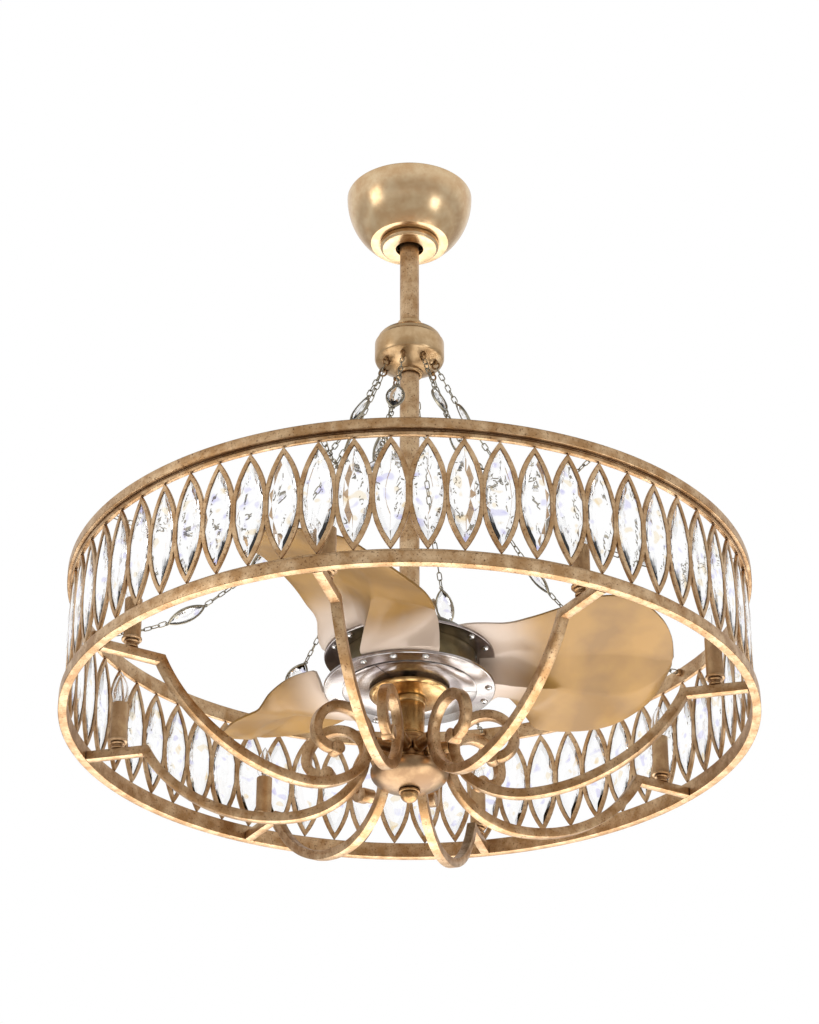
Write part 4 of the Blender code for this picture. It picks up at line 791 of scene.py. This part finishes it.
level_z = arm_z + LEVEL_OVER_HUB
arm_end = -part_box("arm_1")[0].y
kink = Vector((KINK_R, level_z))
sole = Vector((ARM_HUB_R + SWEEP_REACH, arm_z - SWEEP_DROP))
run = sole - kink
out_x, out_z = HANDLE_OUT_SHARES
handle_out = Vector((kink.x + run.x * out_x, kink.y + run.y * out_z))
handle_in = Vector((sole.x - run.x * HANDLE_IN_SHARE, sole.y))
path = [(arm_end, level_z)]
for i in range(FALL_STEPS + 1):
    t = i / FALL_STEPS
    fall = kink * (1 - t) ** 3 + handle_out * 3 * t * (1 - t) ** 2
    path.append(tuple(fall + handle_in * 3 * t**2 * (1 - t) + sole * t**3))
path += arc((sole.x, arm_z), SWEEP_REACH, 270.0, 180.0, 20, SWEEP_DROP / SWEEP_REACH)[1:]
path += arc((ARM_HUB_R + LOOP_R, arm_z), LOOP_R, 180.0, 0.0, 32)[1:]
path += arc((ARM_HUB_R + 2 * LOOP_R - CURL_R, arm_z), CURL_R, 0.0, -90.0, 12)[1:]
half, flat_half = BAR / 2, BAR / 2 - BAR_EDGE
near_edge = flat_half + BAR_EDGE * 0.72
square = []
for sx, sy in ((1, 1), (-1, 1), (-1, -1), (1, -1)):
    corner = [(sx * half, sy * flat_half), (sx * near_edge, sy * near_edge), (sx * flat_half, sy * half)]
    square += corner if sx * sy > 0 else corner[::-1]
bm = bmesh.new()
bent_rod(bm, path, square)
side = COIN_WIDE / 2
coin = [(0.0, -side), (COIN_R, -side), (COIN_R, side), (0.0, side)]
coin_middle = Matrix.Translation((path[-1][0] - COIN_R * 0.8, 0.0, path[-1][1]))
across = coin_middle @ Matrix.Rotation(math.pi / 2, 4, "X")
spin(bm, eased(coin, COIN_EASE), 40, across)
arm_mesh = mesh_of(bm, "scroll_arm", gold_leaf)
arm_mesh.transform(radial(0.0))
fit_eight("scroll_arm", arm_mesh, "antique_gold_leaf", "arm")

# Hoops
# Two rolled steel hoops hold the drum, in the same leaf. The lower is a plain band with a lip, on which the
# marquises stand. The upper has a deep groove over its lip, and eight tabs inside for the chains.
HOOP_INNER = 445 * MM
LIP_R = 450 * MM
BAND = 16.5 * MM
UPPER_LIP = 8 * MM
TAB = (6 * MM, 6 * MM, 8 * MM)  # out, across and high
TAB_Z, TAB_EASE = 14.3 * MM, 1.5 * MM
GROOVE = 3.0 * MM
HOOP_EASE = 1.1 * MM

low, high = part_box("lower_hoop")
lower = [
    (HOOP_INNER, low.z), (high.x, low.z),
    (high.x, low.z + BAND), (LIP_R, low.z + BAND),
    (LIP_R, high.z), (HOOP_INNER, high.z),
]
fitting = (gold_leaf, "fixture", "antique_gold_leaf", "lower_hoop")
spun_piece("lower_drum_hoop", lower, HOOP_EASE, *fitting, steps=256)
low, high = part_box("upper_hoop")
lip_z = low.z + UPPER_LIP
upper = [
    (HOOP_INNER, low.z), (LIP_R + 1.2 * MM, low.z),
    (LIP_R + 1.2 * MM, lip_z - GROOVE), (LIP_R - 1.0 * MM, lip_z - GROOVE * 0.6),
    (LIP_R - 1.0 * MM, lip_z), (high.x, lip_z + 0.6 * MM),
    (high.x, high.z), (HOOP_INNER, high.z),
]
bm = bmesh.new()
spin(bm, eased(upper, HOOP_EASE), 256)
tab_z = low.z + TAB_Z
tab_in, tab_out = HOOP_INNER - TAB[0], HOOP_INNER + 1 * MM
tab_low, tab_high = tab_z - TAB[2] / 2, tab_z + TAB[2] / 2
tab = [(tab_in, tab_low), (tab_out, tab_low), (tab_out, tab_high), (tab_in, tab_high)]
tab = eased(tab, TAB_EASE)
for turn in EIGHTHS:
    around = radial(turn)
    sides = []
    for w in (-TAB[1] / 2, TAB[1] / 2):
        sides.append([bm.verts.new(around @ Vector((x, w, z))) for x, z in tab])
        bm.faces.new(sides[-1])
    join(bm, *sides)
fit_made(bm, "upper_drum_hoop", gold_leaf, "fixture", "antique_gold_leaf", "upper_hoop")

# Marquises
# 64 pointed ovals of flat steel bar, welded side by side and to the hoops, in the same leaf. Each frames a
# navette of lead crystal, cut with facets on both faces.
MARQUISES = 64
MARQUISE_R = 447.5 * MM
FRAME_HALF = 25.3 * MM
FRAME_DEEP = 4.6 * MM
FRAME_EDGE, JOINT_EDGE, JOINT_GAP = 0.9 * MM, 0.15 * MM, 0.04 * MM
OPENING_HALF, OPENING_DOWN = 18.7 * MM, 10.5 * MM
FRAME_STEPS = 18
CRYSTAL_FIT = 0.25 * MM
CRYSTAL_GIRDLE = 0.7 * MM
CRYSTAL_ROWS = (  # shares across and along, and height, of each row of facets
    (0.72, 0.80, 2.5 * MM), (0.34, 0.46, 3.6 * MM),
)
CRYSTAL_STEPS = 7
CRYSTAL_PAINTED_FLASH = 14 * MM
CRYSTAL_CLEAR, VIOLET_PAINTED_FLASH, AMBER_PAINTED_FLASH = "FFFFFF", "CFCCF3", "F5E1BD"


def lens_edge(half_height, half_width, share):
    """A point on the edge of a pointed oval. The share runs from -1 at its foot to 1 at its tip."""
    radius = (half_height**2 + half_width**2) / (2 * half_width)
    z = half_height * share
    return math.sqrt(radius**2 - z**2) - (radius - half_width), z


def oval_walk(k, steps):
    """The side and the share of place k on a walk up one edge of a pointed oval and down the other."""
    up = k <= steps
    return -1 if up else 1, math.sin(math.pi / 2 * (2 * (k if up else 2 * steps - k) / steps - 1))


low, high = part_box("lattice")
middle_z = (low.z + high.z) / 2
half_height = (high.z - low.z) / 2
pitch = 2 * math.pi / MARQUISES
joint_x = pitch / 2 * MARQUISE_R - JOINT_GAP
front = FRAME_DEEP / 2
stations = []
for k in range(2 * FRAME_STEPS):
    side, share = oval_walk(k, FRAME_STEPS)
    out_x, out_z = lens_edge(half_height, FRAME_HALF, share)
    in_x, in_z = lens_edge(half_height - OPENING_DOWN, OPENING_HALF, share)
    edge = JOINT_EDGE if out_x > joint_x else FRAME_EDGE
    outer = Vector((side * min(out_x, joint_x), out_z))
    inner = Vector((side * in_x, in_z))
    inward = (inner - outer).normalized()
    near_out, near_in = outer + inward * edge, inner - inward * FRAME_EDGE
    station = [(outer, front - edge), (near_out, front), (near_in, front), (inner, front - FRAME_EDGE)]
    stations.append(station + [(point, -depth) for point, depth in reversed(station)])
bm = bmesh.new()
for cell in range(MARQUISES):
    rings = []
    for station in stations:
        ring = []
        for point, depth in station:
            turn = cell * pitch + point.x / MARQUISE_R
            r = MARQUISE_R + depth
            spot = (r * math.sin(turn), -r * math.cos(turn), middle_z + point.y)
            ring.append(bm.verts.new(spot))
        rings.append(ring)
    for low, high in zip(rings, rings[1:] + rings[:1]):
        join(bm, low, high)
fit_made(bm, "marquise_frames", gold_leaf, "fixture", "crystal_in_gold_frames", "lattice")


def navette(bm, half_long, half_wide, place, scale=1.0, material=0):
    """A faceted crystal: a pointed oval edge, and rows of facets up to a small table on each face."""
    count = 2 * CRYSTAL_STEPS

    def ring(across, along, depth, offset):
        points = []
        for k in range(count):
            side, share = oval_walk(k + offset, CRYSTAL_STEPS)
            x, z = lens_edge(half_long, half_wide, share)
            points.append(bm.verts.new(place @ Vector((depth, side * x * across, z * along))))
        return points

    edges = [ring(1.0, 1.0, side * CRYSTAL_GIRDLE * scale, 0.0) for side in (1, -1)]
    faces = join(bm, *edges)
    for side, edge in zip((1, -1), edges):
        lower = edge
        for n, (across, along, depth) in enumerate(CRYSTAL_ROWS):
            higher = ring(across, along, side * depth * scale, 0.5 if n == 0 else 0.0)
            for k in range(count):
                j = (k + 1) % count
                a, b, c, d = lower[k], lower[j], higher[j], higher[k]
                facets = ((a, b, d), (b, c, d)) if n == 0 else ((a, c, d), (a, b, c))
                faces += [bm.faces.new(facet) for facet in facets]
            lower = higher
        faces.append(bm.faces.new(lower))
    for face in faces:
        face.material_index = material


# Clear as water, with a few patches painted violet and amber as painted flashes of the light that the glass
# splits.
lead_crystal, tree, shader = new_finish("lead_crystal")
_, violet_flash_paint = clouded(tree, CRYSTAL_PAINTED_FLASH, 0.70, 0.78, 0.0)
_, amber_flash_paint = clouded(tree, CRYSTAL_PAINTED_FLASH, 0.28, 0.22, 0.0)
tones = {0: violet_flash_paint, 6: linear(CRYSTAL_CLEAR), 7: linear(VIOLET_PAINTED_FLASH)}
tinted = add_node(tree, "ShaderNodeMix", tones, 2, data_type="RGBA")
tones = {0: amber_flash_paint, 6: tinted, 7: linear(AMBER_PAINTED_FLASH)}
tinted = add_node(tree, "ShaderNodeMix", tones, 2, data_type="RGBA")
tree.links.new(tinted, shader["Base Color"])
shader["Roughness"].default_value = 0.0
shader["IOR"].default_value = 1.545
shader["Transmission Weight"].default_value = 1.0

bm = bmesh.new()
for cell in range(MARQUISES):
    seat = radial(cell * pitch) @ Matrix.Translation((MARQUISE_R, 0.0, middle_z))
    navette(bm, half_height - OPENING_DOWN - CRYSTAL_FIT * 3, OPENING_HALF - CRYSTAL_FIT, seat)
crystals = mesh_of(bm, "marquise_crystals", lead_crystal, smooth=False)
fit("marquise_crystals", crystals, "fixture", "crystal_in_gold_frames")

# Candles
# A turned cup on a short neck carries a sleeve painted in gold over the lamp holder. The clear torpedo bulb
# in it has a looped tungsten filament on a short stem.
CUP_TURNS = (  # radius and height over the arm, in millimetres
    (5.6, 0.0), (8.4, 0.0), (8.4, 2.2), (6.2, 3.4), (6.2, 5.2), (9.8, 6.6), (9.8, 8.2), (8.0, 9.2),
    (12.8, 10.0), (12.8, 13.0),
)
SLEEVE_R, SOCKET_R = 11.1 * MM, 8.0 * MM
CUP_TOP = 13 * MM
SOCKET_DEEP = 12 * MM
GLASS_WALL = 0.5 * MM
BULB_TURNS = (  # radius and height over the sleeve, in millimetres
    (6.6, 0.3), (7.0, 3.0), (9.6, 7.0), (11.2, 12.5), (11.2, 18.0), (10.0, 26.0), (7.6, 34.0), (4.6, 40.5),
    (2.2, 45.0), (0.9, 47.6), (0.0, 48.2),
)
BULB_BENDS = 26
FILAMENT_WIRE = 0.25 * MM
FILAMENT_TURNS = (  # place across and height over the sleeve, in millimetres
    (-3.2, 8), (-3.6, 18), (-2.2, 30), (-0.9, 33), (0.0, 24), (0.9, 33), (2.2, 30), (3.6, 18), (3.2, 8),
)

# Matt gold paint, warmer and duller than the leaf, and water-clear glass.
sleeve_colours = ("A98660", "C4A47A", "644327")
sleeve_paint = leafed("gold_painted_candle_sleeve", *sleeve_colours, 2.2 * MM, 0.0, 0.50, 0.15, 0.7)
clear_glass, _, shader = new_finish("clear_bulb_glass")
shader["Base Color"].default_value = linear("FFFFFF")
shader["Roughness"].default_value = 0.0
shader["IOR"].default_value = 1.47
shader["Transmission Weight"].default_value = 1.0

low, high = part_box("candle_1")
candle_r = -(low.y + high.y) / 2
stand = Matrix.Translation((0.0, -candle_r, 0.0))
top = high.z
rises = [(r * MM, low.z + z * MM) for r, z in CUP_TURNS]
cup = [(0.0, low.z), *rises, (0.0, low.z + CUP_TOP)]
sleeve_low = low.z + CUP_TOP + 0.05 * MM
sleeve = [
    (0.0, sleeve_low), (SLEEVE_R, sleeve_low),
    (SLEEVE_R, top), (SLEEVE_R - 1.2 * MM, top),
    (SLEEVE_R - 1.2 * MM, top - 2 * MM), (SOCKET_R, top - 2 * MM),
    (SOCKET_R, top - SOCKET_DEEP), (0.0, top - SOCKET_DEEP),
]
glass_out = [(r * MM, top + z * MM) for r, z in BULB_TURNS]
glass_in = [(max(0.0, r - GLASS_WALL), z - (GLASS_WALL if r < 3 * MM else 0.0)) for r, z in glass_out]
fine = []
for line in (glass_out, glass_in):
    widths, heights = zip(*line)
    rise = heights[-1] - heights[0]
    steps = [heights[0] + rise * math.sin(math.pi / 2 * k / BULB_BENDS) for k in range(BULB_BENDS)]
    curve = [(max(0.0, smooth_through(heights, widths, z)), z) for z in steps]
    fine.append([*curve, (0.0, heights[-1])])
cups = bmesh.new()
spin(cups, eased(cup, 0.6 * MM), 40)
sleeves = bmesh.new()
spin(sleeves, eased(sleeve, 0.5 * MM), 40)
bulbs = bmesh.new()
spin(bulbs, fine[0] + fine[1][::-1], 32)
base_low, base_top, stem_top = top - SOCKET_DEEP + 0.5 * MM, top + 2 * MM, top + 12 * MM
base = [(0.0, base_low), (7.0 * MM, base_low), (7.0 * MM, base_top), (0.0, base_top)]
stem = [(0.0, base_top), (1.8 * MM, base_top), (1.1 * MM, stem_top), (0.0, stem_top)]
filament = [(x * MM, top + z * MM) for x, z in FILAMENT_TURNS]
holders = bmesh.new()
spin(holders, eased(base, 0.8 * MM), 28)
spin(holders, eased(stem, 0.6 * MM), 12)
bent_rod(holders, filament, circle(FILAMENT_WIRE, 5))
for name, bm, finish, slot, node in (
    ("candle_cup", cups, gold_leaf, "antique_gold_leaf", None),
    ("candle_sleeve", sleeves, sleeve_paint, "gold_painted_sleeve", "candle"),
    ("bulb_base_and_filament", holders, screw_steel, "clear_glass", None),
    ("bulb_glass", bulbs, clear_glass, "clear_glass", "bulb"),
):
    mesh = mesh_of(bm, name, finish)
    mesh.transform(stand)
    fit_eight(name, mesh, slot, node)

# Chains
# Eight chains of oval wire links in dark pewter run from the hub to the upper hoop, each in a catenary.
# Three navettes hang in each one, framed in the same pewter. The one near the hub is a little narrower.
LINK_PITCH = 10.6 * MM
LINK_HALF, LINK_WIRE = 3.0 * MM, 0.8 * MM
CHAIN_LOW_R = 400 * MM  # where the chain hangs level
CHAIN_END_R = 438.2 * MM
PENDANTS = ((0.165, 12 * MM), (0.55, 13 * MM), (0.78, 13 * MM))  # share of the chain, and half width
PENDANT_LONG = 60 * MM
PENDANT_RIM, PENDANT_EYE = (1.2 * MM, 1.7 * MM), 2.4 * MM
NARROW_TWIST = 1.3  # the narrower one's turn about the chain, in radians

# A dull grey wire, with dark painted shade where the links cross.
pewter = leafed("dark_pewter_wire", "8C8474", "B4AC98", "3A342A", 1.6 * MM, 0.02, 0.34, 0.1)
start_r, start_z = EYE_AT[0] + 2 * MM, eye_z - EYE_R
drop = start_z - tab_z
tight, loose = drop / 4, drop * 4
while loose - tight > 0.01 * MM:
    sag = (tight + loose) / 2
    fall = math.cosh((CHAIN_LOW_R - start_r) / sag) - math.cosh((CHAIN_END_R - CHAIN_LOW_R) / sag)
    if sag * fall > drop:
        tight = sag
    else:
        loose = sag
base = sag * math.sinh((start_r - CHAIN_LOW_R) / sag)
whole = sag * math.sinh((CHAIN_END_R - CHAIN_LOW_R) / sag) - base
ground = tab_z - sag * math.cosh((CHAIN_END_R - CHAIN_LOW_R) / sag)


def on_chain(along, twist):
    """Where x runs along the chain and z across it, twisted about the chain."""
    x = CHAIN_LOW_R + sag * math.asinh((base + along) / sag)
    slope = math.sinh((x - CHAIN_LOW_R) / sag)
    lean = Matrix.Rotation(-math.atan(slope), 4, "Y")
    place = Matrix.Translation((x, 0.0, ground + sag * math.cosh((x - CHAIN_LOW_R) / sag)))
    return place @ lean @ Matrix.Rotation(twist, 4, "X")


def oval(half_long, half_wide, steps=6):
    """A link's centre line: two straight wires with round ends."""
    straight = half_long - half_wide
    right = arc((straight, 0.0), half_wide, -90.0, 90.0, steps)
    left = arc((-straight, 0.0), half_wide, 90.0, 270.0, steps)
    return right + left


corners = ((1, 0.6), (0.6, 1), (-0.6, 1), (-1, 0.6))
corners += tuple((-x, -y) for x, y in corners)
flat_rim = [(x * PENDANT_RIM[0], y * PENDANT_RIM[1]) for x, y in corners]
body_half = PENDANT_LONG / 2 - 3 * MM
# Each link turns a quarter from the last one, and each a little more or less.
bm = bmesh.new()
reached = 0.0
count = 0
for share, half_wide in (*PENDANTS, (1.0, 0.0)):
    middle = share * whole
    run = middle - (PENDANT_LONG / 2 if half_wide else 0.0) - reached
    links = max(1, round(run / LINK_PITCH))
    link_half = run / links / 2 + LINK_WIRE
    for k in range(links):
        count += 1
        twist = math.pi / 2 * (count % 2) + 0.3 * math.sin(count * 2.1)
        place = on_chain(reached + run * (k + 0.5) / links, twist)
        bent_rod(bm, oval(link_half, LINK_HALF), circle(LINK_WIRE, 6), place, closed=True)
    if half_wide:
        count += 1
        twist = math.pi / 2 + 0.25 * math.sin(count * 1.7) if reached else NARROW_TWIST
        place = on_chain(middle, twist) @ Matrix.Rotation(math.pi / 2, 4, "Y")
        rim_line = []
        for k in range(24):
            side, rim_share = oval_walk(k, 12)
            x, z = lens_edge(body_half, half_wide, rim_share)
            rim_line.append((side * x, z))
        bent_rod(bm, rim_line, flat_rim, place, closed=True)
        for end in (-1, 1):
            tip = circle(PENDANT_EYE, 12, (0.0, end * (body_half + PENDANT_EYE)))
            bent_rod(bm, tip, circle(LINK_WIRE, 6), place, closed=True)
        flat_place = place @ Matrix.Rotation(math.pi / 2, 4, "Z")
        navette(bm, body_half - 2.6 * MM, half_wide - 1.5 * MM, flat_place, scale=0.7, material=1)
        reached = middle + PENDANT_LONG / 2
chain_mesh = mesh_of(bm, "hung_chain", pewter, lead_crystal)
for polygon in chain_mesh.polygons:
    polygon.use_smooth = polygon.material_index == 0
chain_mesh.transform(radial(0.0))
fit_eight("hung_chain", chain_mesh, "pewter_wire", "chain")
